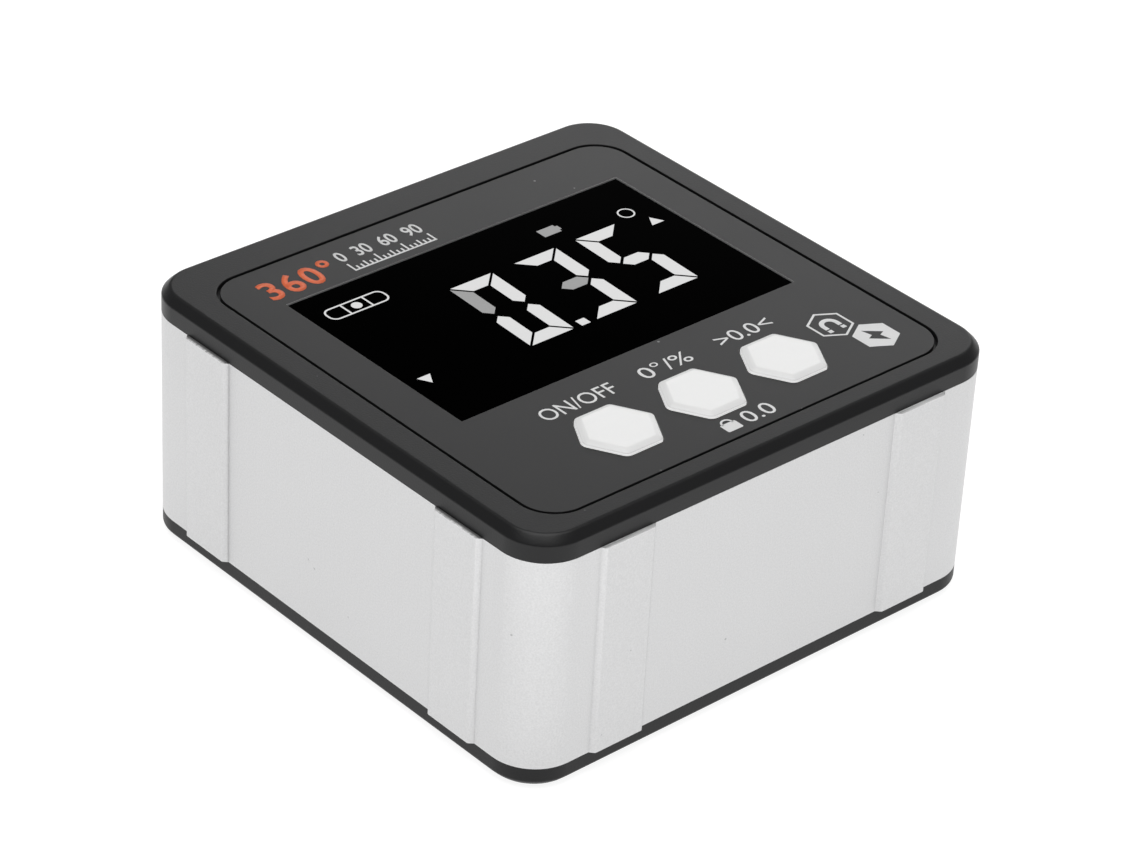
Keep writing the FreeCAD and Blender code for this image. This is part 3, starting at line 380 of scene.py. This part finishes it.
def finish(name, colour, roughness, metallic=0.0, specular=0.5, grain=6000.0, depth=0.3,
           bump=0.02, wear_highlight_share=0.0, wear_highlight_colour=(0.5, 0.5, 0.5), gain=1.0, dust=0.0, drawn=False,
           slope_shade=0.0, glow=None):
    """One procedural finish: grain, uneven sheen, edges coloured by scuffing and by painted
    highlights, and a little dust.

    drawn adds the extrusion's lines, painted shade in its creases and its sawn ends, with painted
    shade on the left side's ends; the key setting adds painted shade on a key's sloped ring and a
    painted glow on its upright sides; and glow gives a light of the piece's own.
    """
    material = bpy.data.materials.new(name)
    material.use_nodes = True
    tree = material.node_tree
    shader = tree.nodes["Principled BSDF"]
    shader.inputs["Metallic"].default_value = metallic
    shader.inputs["Specular IOR Level"].default_value = specular

    grit = use_group(tree, FINE_GRAIN, Scale=grain, Depth=depth)["Grain"]
    patch = use_group(tree, UNEVEN_SHEEN, Scale=90.0)["Patch"]
    spread = calculate(tree, "MULTIPLY", calculate(tree, "SUBTRACT", patch, 0.5), SHEEN_CHANGE)
    rough = calculate(tree, "ADD", spread, roughness, True)
    tone = mix_colour(tree, grit, shade(colour, 0.86), shade(colour, 1.14))
    light = None
    if drawn:
        tone = extruded_tone(tree, tone, colour)
    if slope_shade:
        ring = use_group(tree, KEY_SHADE_AND_GLOW, Level=0.985)
        # Painted shade: the sloped ring round the key's top is darkened.
        tone = lay_over(tree, ring["Mask"], slope_shade, tone, shade(colour, 0.6))
        # Painted light: the upright sides glow on their own, standing in for light that comes
        # through the milky rubber
        light = mix_colour(tree, ring["Side"], shade(colour, 0.0), shade(colour, 0.6))
    # Edges scuffed by handling; on the keys and the extrusion's rails the lighter edge colour is a
    # painted highlight.
    if wear_highlight_share:
        wear_highlight_mask = use_group(tree, WORN_AND_HIGHLIT_EDGES, Reach=0.2 * MM, Gain=gain)["Mask"]
        tone = lay_over(tree, wear_highlight_mask, wear_highlight_share, tone, shade(wear_highlight_colour, 1.0))
    if dust:
        specked = use_group(tree, STRAY_DUST, Scale=260.0, Size=0.035)["Mask"]
        tone = lay_over(tree, specked, dust, tone, (0.7, 0.7, 0.7, 1.0))
    if drawn:
        tone, rough = sawn_finish(tree, shader, tone, rough, colour, metallic)
    if glow is not None:
        light = mix_colour(tree, grit, shade(glow, 0.96), shade(glow, 1.04))
    connect(tree, tone, shader.inputs["Base Color"])
    connect(tree, rough, shader.inputs["Roughness"])
    if light is not None:
        connect(tree, light, shader.inputs["Emission Color"])
        shader.inputs["Emission Strength"].default_value = 1.0

    relief = tree.nodes.new("ShaderNodeBump")
    relief.inputs["Strength"].default_value = 1.0
    relief.inputs["Distance"].default_value = bump * MM
    connect(tree, grit, relief.inputs["Height"])
    connect(tree, relief.outputs[0], shader.inputs["Normal"])
    return material


# Finishes of the pieces that show
# The extrusion's lighter edges are partly a painted highlight along the rails' flanks.
ANODISED = finish("anodised_extrusion", (0.64, 0.64, 0.643), 0.42, metallic=1.0, grain=5500.0,
                  depth=1.0, bump=0.015, wear_highlight_share=0.35, wear_highlight_colour=(0.9, 0.9, 0.9), gain=2.0, drawn=True)
BEZEL_BLACK = finish("moulded_black", (0.01, 0.01, 0.0105), 0.38, specular=0.3, grain=5200.0,
                     depth=0.5, bump=0.02, wear_highlight_share=0.12, wear_highlight_colour=(0.16, 0.16, 0.16), dust=0.3)
PANEL_FILM = finish("overlay_film", (0.012, 0.012, 0.0125), 0.36, specular=0.31, grain=6500.0,
                    depth=0.4, bump=0.008, wear_highlight_share=0.1, wear_highlight_colour=(0.3, 0.3, 0.3), dust=0.25)
# The cut edge's pale grey is partly a painted highlight round the display opening.
FILM_EDGE_HIGHLIGHT = finish("film_cut_edge_highlight", (0.4, 0.4, 0.4), 0.5, grain=5000.0, depth=0.4, bump=0.004)
REAR_BLACK = finish("rear_black", (0.009, 0.009, 0.0095), 0.45, specular=0.29, grain=4200.0,
                    depth=0.5, bump=0.03, wear_highlight_share=0.3, wear_highlight_colour=(0.16, 0.16, 0.16), dust=0.3)
DISPLAY_BLACK = finish("display_black", (0.0003, 0.0003, 0.0003), 0.12, specular=0.001,
                       grain=900.0, depth=0.2, bump=0.001, dust=0.02)
# The keys' near-white edge line is a painted highlight; their sloped ring gets painted shade and
# their upright sides a painted glow.
KEY_WHITE = finish("key_white", (0.92, 0.92, 0.915), 0.34, grain=3500.0, depth=0.12,
                   bump=0.004, wear_highlight_share=0.9, wear_highlight_colour=(1.0, 1.0, 0.995), gain=3.0, slope_shade=0.2)
LEGEND_WHITE = finish("legend_white", (0.74, 0.74, 0.74), 0.5, grain=5000.0, depth=0.25,
                      bump=0.002)
TITLE_ORANGE = finish("title_orange", (0.78, 0.155, 0.06), 0.5, grain=5000.0, depth=0.25,
                      bump=0.002)
SEGMENT_LIT = finish("segment_lit", (0.02, 0.02, 0.02), 0.5, grain=2600.0, depth=0.4,
                     bump=0.0005, glow=(0.66, 0.66, 0.66))
SEGMENT_DIM = finish("segment_dim", (0.02, 0.02, 0.02), 0.5, grain=2600.0, depth=0.4,
                     bump=0.0005, glow=(0.285, 0.285, 0.285))
PLUG_RUBBER = finish("plug_rubber", (0.02, 0.02, 0.02), 0.62, grain=3800.0, depth=0.5,
                     bump=0.02, wear_highlight_share=0.3, wear_highlight_colour=(0.1, 0.1, 0.1), dust=0.2)
SCREW_BLACK = finish("screw_black_zinc", (0.16, 0.16, 0.165), 0.4, metallic=1.0, grain=9000.0,
                     depth=0.4, bump=0.006, wear_highlight_share=0.7, wear_highlight_colour=(0.6, 0.6, 0.6))

# Finishes of the pieces inside the housing
INNER = {
    "seal_rubber": finish("seal_rubber", (0.07, 0.07, 0.07), 0.7, bump=0.01),
    "contact_rubber": finish("contact_rubber", (0.6, 0.28, 0.26), 0.65, bump=0.01),
    "foam_pad": finish("foam_pad", (0.08, 0.08, 0.08), 0.95, grain=1800.0, depth=1.0, bump=0.1),
    "lcd_glass": finish("lcd_glass", (0.12, 0.14, 0.13), 0.06, grain=400.0, depth=0.1, bump=0.001),
    "light_panel": finish("light_panel", (0.8, 0.8, 0.8), 0.3, grain=1200.0, bump=0.004),
    "holder_plastic": finish("holder_plastic", (0.7, 0.7, 0.69), 0.5),
    "board_green": finish("board_green", (0.01, 0.12, 0.05), 0.35, grain=1500.0, depth=0.6),
    "chip_black": finish("chip_black", (0.02, 0.02, 0.02), 0.55),
    "switch_black": finish("switch_black", (0.03, 0.03, 0.03), 0.5),
    "stem_plastic": finish("stem_plastic", (0.6, 0.57, 0.5), 0.45),
    "connector_white": finish("connector_white", (0.78, 0.75, 0.68), 0.5),
    "capacitor_tan": finish("capacitor_tan", (0.4, 0.28, 0.18), 0.4),
    "socket_steel": finish("socket_steel", (0.6, 0.6, 0.61), 0.28, metallic=1.0, grain=3000.0),
    "can_steel": finish("can_steel", (0.64, 0.64, 0.65), 0.3, metallic=1.0, grain=3000.0),
    "screw_steel": SCREW_BLACK,
    "magnet_nickel": finish("magnet_nickel", (0.62, 0.61, 0.58), 0.18, metallic=1.0),
    "battery_foil": finish("battery_foil", (0.55, 0.56, 0.58), 0.35, metallic=0.9, grain=800.0,
                           bump=0.03),
}
for part in frame["record"]["subparts"]:
    if part["material_slot"] in INNER:
        mesh = frame["nodes"][part["node"]].data
        mesh.materials.clear()
        mesh.materials.append(INNER[part["material_slot"]])


# Tools for pieces
def pick(piece):
    """Select the piece alone and make it the active one."""
    bpy.ops.object.select_all(action="DESELECT")
    piece.select_set(True)
    bpy.context.view_layer.objects.active = piece


def edit(piece):
    pick(piece)
    bpy.ops.object.mode_set(mode="EDIT")


def leave_edit():
    bpy.ops.object.mode_set(mode="OBJECT")


def edit_corners(piece, test):
    """Edit the piece with only the corners selected whose place, in millimetres, test picks."""
    edit(piece)
    bpy.ops.mesh.select_mode(type="VERT")
    bpy.ops.mesh.select_all(action="DESELECT")
    leave_edit()
    for vertex in piece.data.vertices:
        vertex.select = test(vertex.co / MM)
    edit(piece)


def settle(piece):
    """Put the object at the origin, unturned and unscaled, with its place in its mesh."""
    pick(piece)
    bpy.ops.object.transform_apply(location=True, rotation=True, scale=True)
    bpy.ops.object.select_all(action="DESELECT")


def apply_modifiers(piece):
    pick(piece)
    for modifier in list(piece.modifiers):
        bpy.ops.object.modifier_apply(modifier=modifier.name)
    bpy.ops.object.select_all(action="DESELECT")


def dress(piece, name, material, body):
    """Name the piece, give it its finish, and put it on its body."""
    piece.name = name
    piece.data.name = name
    piece.data.materials.clear()
    piece.data.materials.append(material)
    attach(piece, body)
    return piece


def joined_faces(piece, cuts):
    """Merge a copied node's loose triangles into whole faces, parted along the lines in cuts."""
    edit(piece)
    bpy.ops.mesh.select_mode(type="VERT")
    bpy.ops.mesh.select_all(action="SELECT")
    bpy.ops.mesh.remove_doubles(threshold=0.0005 * MM)
    for axis, place in cuts:
        normal = (1, 0, 0) if axis == "x" else (0, 1, 0)
        bpy.ops.mesh.select_all(action="SELECT")
        bpy.ops.mesh.bisect(plane_co=Vector(normal) * place * MM, plane_no=normal)
        bpy.ops.mesh.mark_seam()
    bpy.ops.mesh.select_all(action="SELECT")
    bpy.ops.mesh.dissolve_limited(angle_limit=math.radians(0.5), delimit={"SEAM"})
    leave_edit()


SHARP_ANGLE = math.radians(20)


def soften(piece, width_at, segments=3):
    """Round the convex edges that width_at gives a width in millimetres, by their middle."""
    mesh = piece.data
    shape = bmesh.new()
    shape.from_mesh(mesh)
    weight = shape.edges.layers.float.get("bevel_weight_edge")
    if weight is None:
        weight = shape.edges.layers.float.new("bevel_weight_edge")
    for edge in shape.edges:
        if len(edge.link_faces) != 2 or not edge.is_convex:
            continue
        if edge.calc_face_angle() >= SHARP_ANGLE:
            middle = (edge.verts[0].co + edge.verts[1].co) / (2 * MM)
            edge[weight] = width_at(middle)
    shape.to_mesh(mesh)
    shape.free()
    rounding = piece.modifiers.new("soft_edges", "BEVEL")
    rounding.limit_method = "WEIGHT"
    # An edge's weight is then its width in millimetres
    rounding.width = MM
    rounding.segments = segments
    rounding.use_clamp_overlap = False
    rounding.miter_outer = "MITER_ARC"
    apply_modifiers(piece)


def smooth(piece):
    """Shade the roundings smooth and keep the flats flat."""
    pick(piece)
    bpy.ops.object.shade_smooth_by_angle(angle=math.radians(32))
    even = piece.modifiers.new("even_faces", "WEIGHTED_NORMAL")
    even.keep_sharp = True
    even.weight = 60
    apply_modifiers(piece)


def depth_inside(point, half, corner):
    """How far a point lies inside the outline of a rectangle with round corners."""
    x = abs(point.x) - half.x + corner
    y = abs(point.y) - half.y + corner
    if x > 0 and y > 0:
        return corner - math.hypot(x, y)
    return corner - max(x, y)


# Where the edges of a rail's flat lie in the model, and where its even slopes put them
RAIL_EDGES = ((15.7, 16.1), (21.7, 21.95))


def slope_rails(piece):
    """Give each rail the same slope on both its sides."""
    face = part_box("body_extrusion")[1].x / MM
    for turn in range(4):
        along = Matrix.Rotation(turn * math.pi / 2, 3, "Z")
        for side in (-1, 1):
            for before, after in RAIL_EDGES:
                def on_edge(point):
                    seen = along.inverted() @ point
                    return abs(seen.x - face) < 0.02 and abs(seen.y - side * before) < 0.02
                step = Vector((0, side * (after - before) * MM, 0))
                edit_corners(piece, on_edge)
                bpy.ops.transform.translate(value=along @ step)
                leave_edit()


FILM_CORNER = 3.75
FILM_GAP = 0.15
KEY_OPENING_REACH = 4.63
KEY_OPENING_ROUNDING = 0.5
KEY_PLACES = ("left", "middle", "right")
KEY_MIDDLES = [sum(corner.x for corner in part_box("key_" + place)) / (2 * MM)
               for place in KEY_PLACES]
KEY_ROW = sum(corner.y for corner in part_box("key_middle")) / (2 * MM)


def trim_film(piece):
    """Open the gap on the two near sides, and round the corners of the openings for the keys."""
    low, high = (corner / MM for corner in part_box("overlay_panel"))
    middle = (low + high) / 2
    half = (high - low) / 2

    def on_outline(point):
        return depth_inside(point - middle, half, FILM_CORNER) < 0.02

    edit_corners(piece, on_outline)
    smaller = (1 - FILM_GAP / (2 * half.x), 1 - FILM_GAP / (2 * half.y), 1)
    bpy.ops.transform.resize(value=smaller, center_override=high * MM)
    bpy.ops.mesh.select_mode(type="EDGE")
    bpy.ops.mesh.select_all(action="DESELECT")
    leave_edit()
    for edge in piece.data.edges:
        first, second = (piece.data.vertices[v].co / MM for v in edge.vertices)
        upright = (first.xy - second.xy).length < 0.001
        reaches = [(first.xy - Vector((x, KEY_ROW))).length for x in KEY_MIDDLES]
        edge.select = upright and any(abs(reach - KEY_OPENING_REACH) < 0.03 for reach in reaches)
    edit(piece)
    bpy.ops.mesh.bevel(offset=KEY_OPENING_ROUNDING * MM, segments=4, affect="EDGES",
                       clamp_overlap=False)
    leave_edit()


def finished_copy(node, name, material, width_at, segments=3, cuts=(), shape=None):
    """A copy of a node, with softened edges and any change of shape, that replaces the node."""
    source = frame["nodes"][node]
    piece = source.copy()
    piece.data = source.data.copy()
    piece.parent = None
    for key in list(piece.keys()):
        del piece[key]
    bpy.context.scene.collection.objects.link(piece)
    joined_faces(piece, cuts)
    if shape:
        shape(piece)
    soften(piece, width_at, segments)
    smooth(piece)
    bodies = frame["record"]["behaviour"]["bodies"]
    body = next(body for body, nodes in bodies.items() if node in nodes)
    dress(piece, name, material, body)
    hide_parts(node)
    return piece


# Housing. Each function gives the width of the rounding on the edge at a point, in millimetres
OUTER_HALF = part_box("front_bezel")[1].x / MM
OUTER_CORNER = 5.0
BEZEL_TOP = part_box("front_bezel")[1].z / MM
BODY_LOW, BODY_HIGH = (corner.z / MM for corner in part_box("body_extrusion"))
PANEL_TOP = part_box("overlay_panel")[1].z / MM
WINDOW_LOW, WINDOW_HIGH = (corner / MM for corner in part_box("display_window"))


def inset(point):
    """How far a point lies inside the upright outline of the covers, in millimetres."""
    return depth_inside(point, Vector((OUTER_HALF, OUTER_HALF)), OUTER_CORNER)


def extrusion_edges(point):
    if inset(point) < -0.2 and BODY_LOW + 0.5 < point.z < BODY_HIGH - 0.5:
        return 0.12
    return 0.0


def bezel_edges(point):
    if point.z > BEZEL_TOP - 0.05:
        return 0.22 if inset(point) < 1.5 else 0.05
    if inset(point) > 0.2:
        return 0.0
    return 0.12 if point.z > BEZEL_TOP - 1.2 else 0.06


def cover_edges(point):
    if inset(point) > 1.5:
        return 0.0
    if point.z < 0.05:
        return 0.25
    return 0.18 if point.z < 1.2 else 0.05


def top_edges(top, width, depth=0.05):
    """The same rounding on all the edges that lie near a height."""
    return lambda point: width if point.z > top - depth else 0.0


def plug_edges(point):
    return 0.2 if point.x > OUTER_HALF + 0.3 else 0.0


def screw_edges(point):
    return 0.06 if point.z < 0.05 else 0.0


def paint_cut_edge_highlight(piece):
    """Paint the film's cut edge round the display opening pale grey: the film's core, lightened as
    a painted highlight along the opening.
    """
    piece.data.materials.append(FILM_EDGE_HIGHLIGHT)
    reach = 0.3
    for face in piece.data.polygons:
        place = face.center / MM
        at_window = (WINDOW_LOW.x - reach < place.x < WINDOW_HIGH.x + reach
                     and WINDOW_LOW.y - reach < place.y < WINDOW_HIGH.y + reach)
        if at_window and abs(face.normal.z) < 0.5:
            face.material_index = 1


finished_copy("body_extrusion", "housing_extrusion", ANODISED, extrusion_edges, shape=slope_rails)
finished_copy("front_bezel", "bezel_rim", BEZEL_BLACK, bezel_edges, cuts=[("x", 0), ("y", 0)])
finished_copy("rear_cover", "back_plate", REAR_BLACK, cover_edges)
film = finished_copy("overlay_panel", "front_film", PANEL_FILM, top_edges(PANEL_TOP, 0.04), 2,
                     [("x", middle) for middle in KEY_MIDDLES] + [("y", 4)], trim_film)
paint_cut_edge_highlight(film)
finished_copy("display_window", "display_pane", DISPLAY_BLACK, top_edges(WINDOW_HIGH.z, 0.05), 2)
for place in KEY_PLACES:
    finished_copy("key_" + place, "keycap_" + place, KEY_WHITE, top_edges(PANEL_TOP, 0.1, 0.5))
finished_copy("port_plug", "port_cap", PLUG_RUBBER, plug_edges)
finished_copy("rear_screws", "cover_screws", SCREW_BLACK, screw_edges, 2)


# Tools for printing and signs
INK_THICKNESS = 0.012


def raise_flat(piece, bottom, thickness):
    """Give a flat piece its thickness and lay it at its height."""
    edit(piece)
    bpy.ops.mesh.select_all(action="SELECT")
    bpy.ops.mesh.extrude_region_move(TRANSFORM_OT_translate={"value": (0, 0, thickness * MM)})
    bpy.ops.mesh.select_all(action="SELECT")
    bpy.ops.mesh.normals_make_consistent(inside=False)
    leave_edit()
    piece.location.z = bottom * MM
    settle(piece)


def printed_words(name, words, box, material=LEGEND_WHITE, weight=0.0,
                  spread=1.0):
    """Plain lettering on the film that fills a box, as one flat raised piece."""
    left, right, low, high = box
    bpy.ops.object.select_all(action="DESELECT")
    bpy.ops.object.text_add(location=(0, 0, 0))
    piece = bpy.context.object
    piece.data.body = words
    piece.data.size = 1.0
    piece.data.offset = weight
    piece.data.space_character = spread
    piece.data.resolution_u = 4
    bpy.ops.object.convert(target="MESH")
    piece = bpy.context.object
    xs = [v.co.x for v in piece.data.vertices]
    ys = [v.co.y for v in piece.data.vertices]
    wide = (right - left) * MM / (max(xs) - min(xs))
    tall = (high - low) * MM / (max(ys) - min(ys))
    piece.data.transform(Matrix.Translation((-min(xs), -min(ys), 0)))
    piece.scale = (wide, tall, 1)
    piece.location = (left * MM, low * MM, 0)
    settle(piece)
    raise_flat(piece, PANEL_TOP, INK_THICKNESS)
    return dress(piece, name, material, "housing")


def flat_bar(x, y, width, length, turn=0.0):
    """A flat rectangle round its middle."""
    bpy.ops.object.select_all(action="DESELECT")
    bpy.ops.mesh.primitive_plane_add(size=1, location=(x * MM, y * MM, 0), rotation=(0, 0, turn))
    piece = bpy.context.object
    piece.scale = (width * MM, length * MM, 1)
    settle(piece)
    return piece


def flat_disc(x, y, radius, corners=48, turn=0.0):
    bpy.ops.object.select_all(action="DESELECT")
    bpy.ops.mesh.primitive_circle_add(vertices=corners, radius=radius * MM, fill_type="NGON",
                                      location=(x * MM, y * MM, 0), rotation=(0, 0, turn))
    piece = bpy.context.object
    settle(piece)
    return piece


def hollow(piece, stroke):
    """Leave only a stroke along the outline of a flat piece."""
    edit(piece)
    bpy.ops.mesh.select_mode(type="FACE")
    bpy.ops.mesh.select_all(action="SELECT")
    bpy.ops.mesh.inset(thickness=stroke * MM)
    bpy.ops.mesh.delete(type="FACE")
    leave_edit()
    return piece


def flat_ring(x, y, radius, stroke, corners=48):
    return hollow(flat_disc(x, y, radius, corners), stroke)


def keep_side(piece, point, normal):
    """Cut a flat piece along a line and keep the part that the normal points away from."""
    edit(piece)
    bpy.ops.mesh.select_all(action="SELECT")
    bpy.ops.mesh.bisect(plane_co=Vector(point) * MM, plane_no=normal, clear_outer=True)
    leave_edit()


def flat_outline(x, y, corners):
    """A flat shape whose corners lie at the given places round its middle."""
    piece = flat_disc(x, y, 1.0, len(corners))
    for number, (dx, dy) in enumerate(corners):
        before = piece.data.vertices[number].co.copy()
        edit_corners(piece, lambda point: (point * MM - before).length < 0.001 * MM)
        bpy.ops.transform.translate(value=Vector(((x + dx) * MM, (y + dy) * MM, 0)) - before)
        leave_edit()
    return piece


def slide_corners(piece, test, dx, dy):
    """Move the corners that test picks, in millimetres."""
    edit_corners(piece, test)
    bpy.ops.transform.translate(value=(dx * MM, dy * MM, 0))
    leave_edit()


def cut_corners(piece, test, reach, segments=1):
    """Bevel the corners of a flat piece that test picks."""
    edit_corners(piece, test)
    bpy.ops.mesh.bevel(offset=reach * MM, affect="VERTICES", segments=segments)
    bpy.ops.mesh.select_all(action="SELECT")
    bpy.ops.mesh.remove_doubles(threshold=0.001 * MM)
    leave_edit()


def every_corner(point):
    return True


def join(pieces):
    """Make several flat pieces one."""
    bpy.ops.object.select_all(action="DESELECT")
    for piece in pieces:
        piece.select_set(True)
    bpy.context.view_layer.objects.active = pieces[0]
    bpy.ops.object.join()
    return bpy.context.object


# Seven-segment figures: each has mitred corners and pointed middles, leaning a little
DIGIT_WIDTH = 5.6
DIGIT_HEIGHT = 13.06
STROKE = 1.68
SEGMENT_GAP = 0.19
LEAN = 0.038
DISPLAY_MIDDLE = 4.1


def figure_segment(letter, left):
    """One segment of a figure whose left edge is at left, before it leans."""
    right = left + DIGIT_WIDTH
    high = DISPLAY_MIDDLE + DIGIT_HEIGHT / 2
    low = DISPLAY_MIDDLE - DIGIT_HEIGHT / 2
    centre = (left + right) / 2
    if letter in "ad":
        outer, inwards = (high, -1) if letter == "a" else (low, 1)
        piece = flat_bar(centre, outer + inwards * STROKE / 2,
                         DIGIT_WIDTH - 2 * SEGMENT_GAP, STROKE)
        inner = outer + inwards * STROKE
        for side in (1, -1):
            slide_corners(piece, lambda point: (abs(point.y - inner) < 0.01
                                                and (centre - point.x) * side > 0),
                          side * STROKE, 0)
    elif letter == "g":
        length = DIGIT_WIDTH - STROKE - 2 * SEGMENT_GAP
        piece = flat_bar(centre, DISPLAY_MIDDLE, length, STROKE)
        cut_corners(piece, every_corner, STROKE / 2)
    else:
        upper = letter in "bf"
        outer, inwards = (right, -1) if letter in "bc" else (left, 1)
        near = DISPLAY_MIDDLE + (1.5 if upper else -1.5) * SEGMENT_GAP
        far = (high - SEGMENT_GAP) if upper else (low + SEGMENT_GAP)
        x = outer + inwards * STROKE / 2
        piece = flat_bar(x, (near + far) / 2, STROKE, abs(far - near))
        cut_corners(piece, lambda point: abs(point.y - near) < 0.01, STROKE / 2)
        inner = outer + inwards * STROKE
        slide_corners(piece, lambda point: (abs(point.x - inner) < 0.01
                                            and abs(point.y - far) < 0.01),
                      0, -STROKE if upper else STROKE)
    return piece


def lean(piece):
    """Slope a segment to the right, about the height of the display's middle."""
    tilt = Matrix.Identity(4)
    tilt[0][1] = LEAN
    tilt[0][3] = -LEAN * DISPLAY_MIDDLE * MM
    piece.data.transform(tilt)


def lit(piece, name, material=SEGMENT_LIT):
    """Lay a segment or sign on the display pane."""
    raise_flat(piece, WINDOW_HIGH.z, INK_THICKNESS)
    return dress(piece, name, material, "housing")


# Each figure's left edge, its lit segments and its dim one
FIGURES = [("first", -6.86, "abcde", "f"), ("second", 1.5, "abcd", "g"),
           ("third", 9.72, "afgcd", "")]
for name, left, bright, dim in FIGURES:
    figure = join([figure_segment(letter, left) for letter in bright])
    lean(figure)
    lit(figure, "figure_" + name)
    for letter in dim:
        segment = figure_segment(letter, left)
        lean(segment)
        lit(segment, "figure_" + name + "_dim", SEGMENT_DIM)
lit(flat_bar(-0.01, -1.98, 1.12, 1.06), "decimal_point")
lit(flat_ring(17.88, 11.62, 0.95, 0.17), "degree_ring")


for name, x, y, turn in (("arrow_up", 19.19, 8.6, 0.0), ("arrow_down", -19.0, -0.9, math.pi)):
    lit(flat_disc(x, y, 0.94, 3, turn), name)


def battery_sign(x, y):
    shell = flat_bar(x, y, 2.2, 1.45)
    nub = flat_bar(x + 1.25, y, 0.3, 0.75)
    lit(join([shell, nub]), "battery_sign", SEGMENT_DIM)


def vial_sign(x, y):
    """A small spirit level: a rounded tube with two marks and a bubble."""
    tube = flat_bar(x, y, 7.4, 2.2)
    cut_corners(tube, every_corner, 0.9, 6)
    hollow(tube, 0.2)
    marks = [flat_bar(x + side * 1.35, y, 0.2, 1.85) for side in (-1, 1)]
    lit(join([tube] + marks + [flat_disc(x, y, 0.58)]), "vial_sign")


battery_sign(9.05, 13.52)
vial_sign(-15.8, 13.72)


# Legends on the film
def legend(piece, name, material=LEGEND_WHITE, lift=0.0):
    """Print a flat piece on the film."""
    raise_flat(piece, PANEL_TOP + lift, INK_THICKNESS)
    return dress(piece, name, material, "housing")


# Each one's left, right, low and high limits
printed_words("legend_power", "ON/OFF", (-15.0, -5.8, -13.97, -12.0))
printed_words("legend_units", "0°/%", (-2.4, 3.9, -14.0, -11.95))
printed_words("legend_zero", ">0.0<", (7.7, 14.7, -13.97, -12.03))
printed_words("title_range", "360°", (-21.9, -13.0, 18.9, 22.6), TITLE_ORANGE,
              weight=0.022, spread=1.12)
printed_words("scale_figures", "0  30  60  90", (-11.9, -1.2, 20.85, 22.85), weight=0.016)

SCALE_LEFT = -11.72
SCALE_LENGTH = 10.34
SCALE_STEPS = 18


def tick_length(step):
    if step % 6 == 0:
        return 1.4
    return 1.0 if step % 3 == 0 else 0.65


def scale_ticks():
    """A short dial scale under its figures."""
    ticks = [flat_bar(SCALE_LEFT + SCALE_LENGTH / 2, 18.9, SCALE_LENGTH + 0.22, 0.22)]
    for step in range(SCALE_STEPS + 1):
        length = tick_length(step)
        ticks.append(flat_bar(SCALE_LEFT + step * SCALE_LENGTH / SCALE_STEPS,
                              18.95 + length / 2, 0.2, length))
    legend(join(ticks), "scale_ticks")


def lock_sign(x, y):
    """A padlock: shut to keep the figures on the display."""
    case = flat_bar(x, y - 0.6, 1.9, 1.35)
    cut_corners(case, every_corner, 0.15, 2)
    bow = flat_ring(x, y, 0.72, 0.22)
    keep_side(bow, (x, y, 0), (0, -1, 0))
    legend(join([case, bow]), "lock_sign")


scale_ticks()
lock_sign(-1.6, -24.4)
printed_words("legend_keep", "0.0", (0.2, 4.0, -25.65, -23.7))


def magnet_sign(x, y):
    """A horseshoe magnet in a hexagon outline."""
    outline = flat_ring(x, y, 2.45, 0.24, 6)
    bow = flat_ring(x, y, 1.12, 0.52)
    keep_side(bow, (x, y, 0), (0, -1, 0))
    parts = [outline, bow]
    for side in (-1, 1):
        parts.append(flat_bar(x + side * 0.86, y - 0.28, 0.52, 0.56))
        parts.append(flat_bar(x + side * 0.86, y - 0.99, 0.52, 0.48))
    legend(join(parts), "magnet_sign")


def charge_sign(x, y):
    """A bolt on a solid hexagon: the charging port is on this side."""
    legend(flat_disc(x, y, 2.44, 6), "charge_sign")
    half_bolt = [(-0.67, 1.44), (-0.36, 0.22), (-1.05, -0.07)]
    bolt = flat_outline(x, y, half_bolt + [(-dx, -dy) for dx, dy in half_bolt])
    legend(bolt, "charge_bolt", PANEL_FILM, INK_THICKNESS / 2)


magnet_sign(18.99, -17.22)
charge_sign(21.26, -21.35)


# Floor and light
def stage_floor():
    """A pale floor, a little brighter towards the camera."""
    bpy.ops.object.select_all(action="DESELECT")
    bpy.ops.mesh.primitive_plane_add(size=8, location=(0, 0, 0))
    floor = bpy.context.object
    floor.name = "pale_floor"
    material = bpy.data.materials.new("pale_floor")
    material.use_nodes = True
    shader = material.node_tree.nodes["Principled BSDF"]
    shader.inputs["Base Color"].default_value = (0.25, 0.25, 0.25, 1)
    shader.inputs["Roughness"].default_value = 0.8
    shader.inputs["Specular IOR Level"].default_value = 0.1
    tree = material.node_tree
    towards_camera = combine(tree, "DOT_PRODUCT", object_place(tree), (-0.68, -0.733, 0))
    in_front = ramp(tree, towards_camera, 42 * MM, 80 * MM)
    glow = mix_colour(tree, in_front, (0.9, 0.9, 0.9, 1), (1.12, 1.12, 1.12, 1))
    connect(tree, glow, shader.inputs["Emission Color"])
    shader.inputs["Emission Strength"].default_value = 1.0
    floor.data.materials.append(material)


AIM = Vector((0, 0, 0.015))


def softbox(name, place, size, power):
    """A soft area light that points at the middle of the instrument."""
    bpy.ops.object.light_add(type="AREA", location=place)
    lamp = bpy.context.object
    lamp.name = name
    lamp.data.shape = "RECTANGLE"
    lamp.data.size, lamp.data.size_y = size
    lamp.data.energy = power
    towards = AIM - Vector(place)
    lamp.rotation_euler = towards.to_track_quat("-Z", "Y").to_euler()


def light_studio():
    world = bpy.data.worlds.new("studio")
    bpy.context.scene.world = world
    world.use_nodes = True
    sky = world.node_tree.nodes["Background"]
    sky.inputs["Color"].default_value = (1, 1, 1, 1)
    sky.inputs["Strength"].default_value = 0.2
    softbox("overhead", (-0.15, -0.1, 1.6), (1.5, 1.5), 21)
    softbox("behind", (1.21, 0.98, 0.63), (1.1, 0.53), 3.6)


stage_floor()
light_studio()
bpy.context.scene.view_settings.view_transform = "Standard"
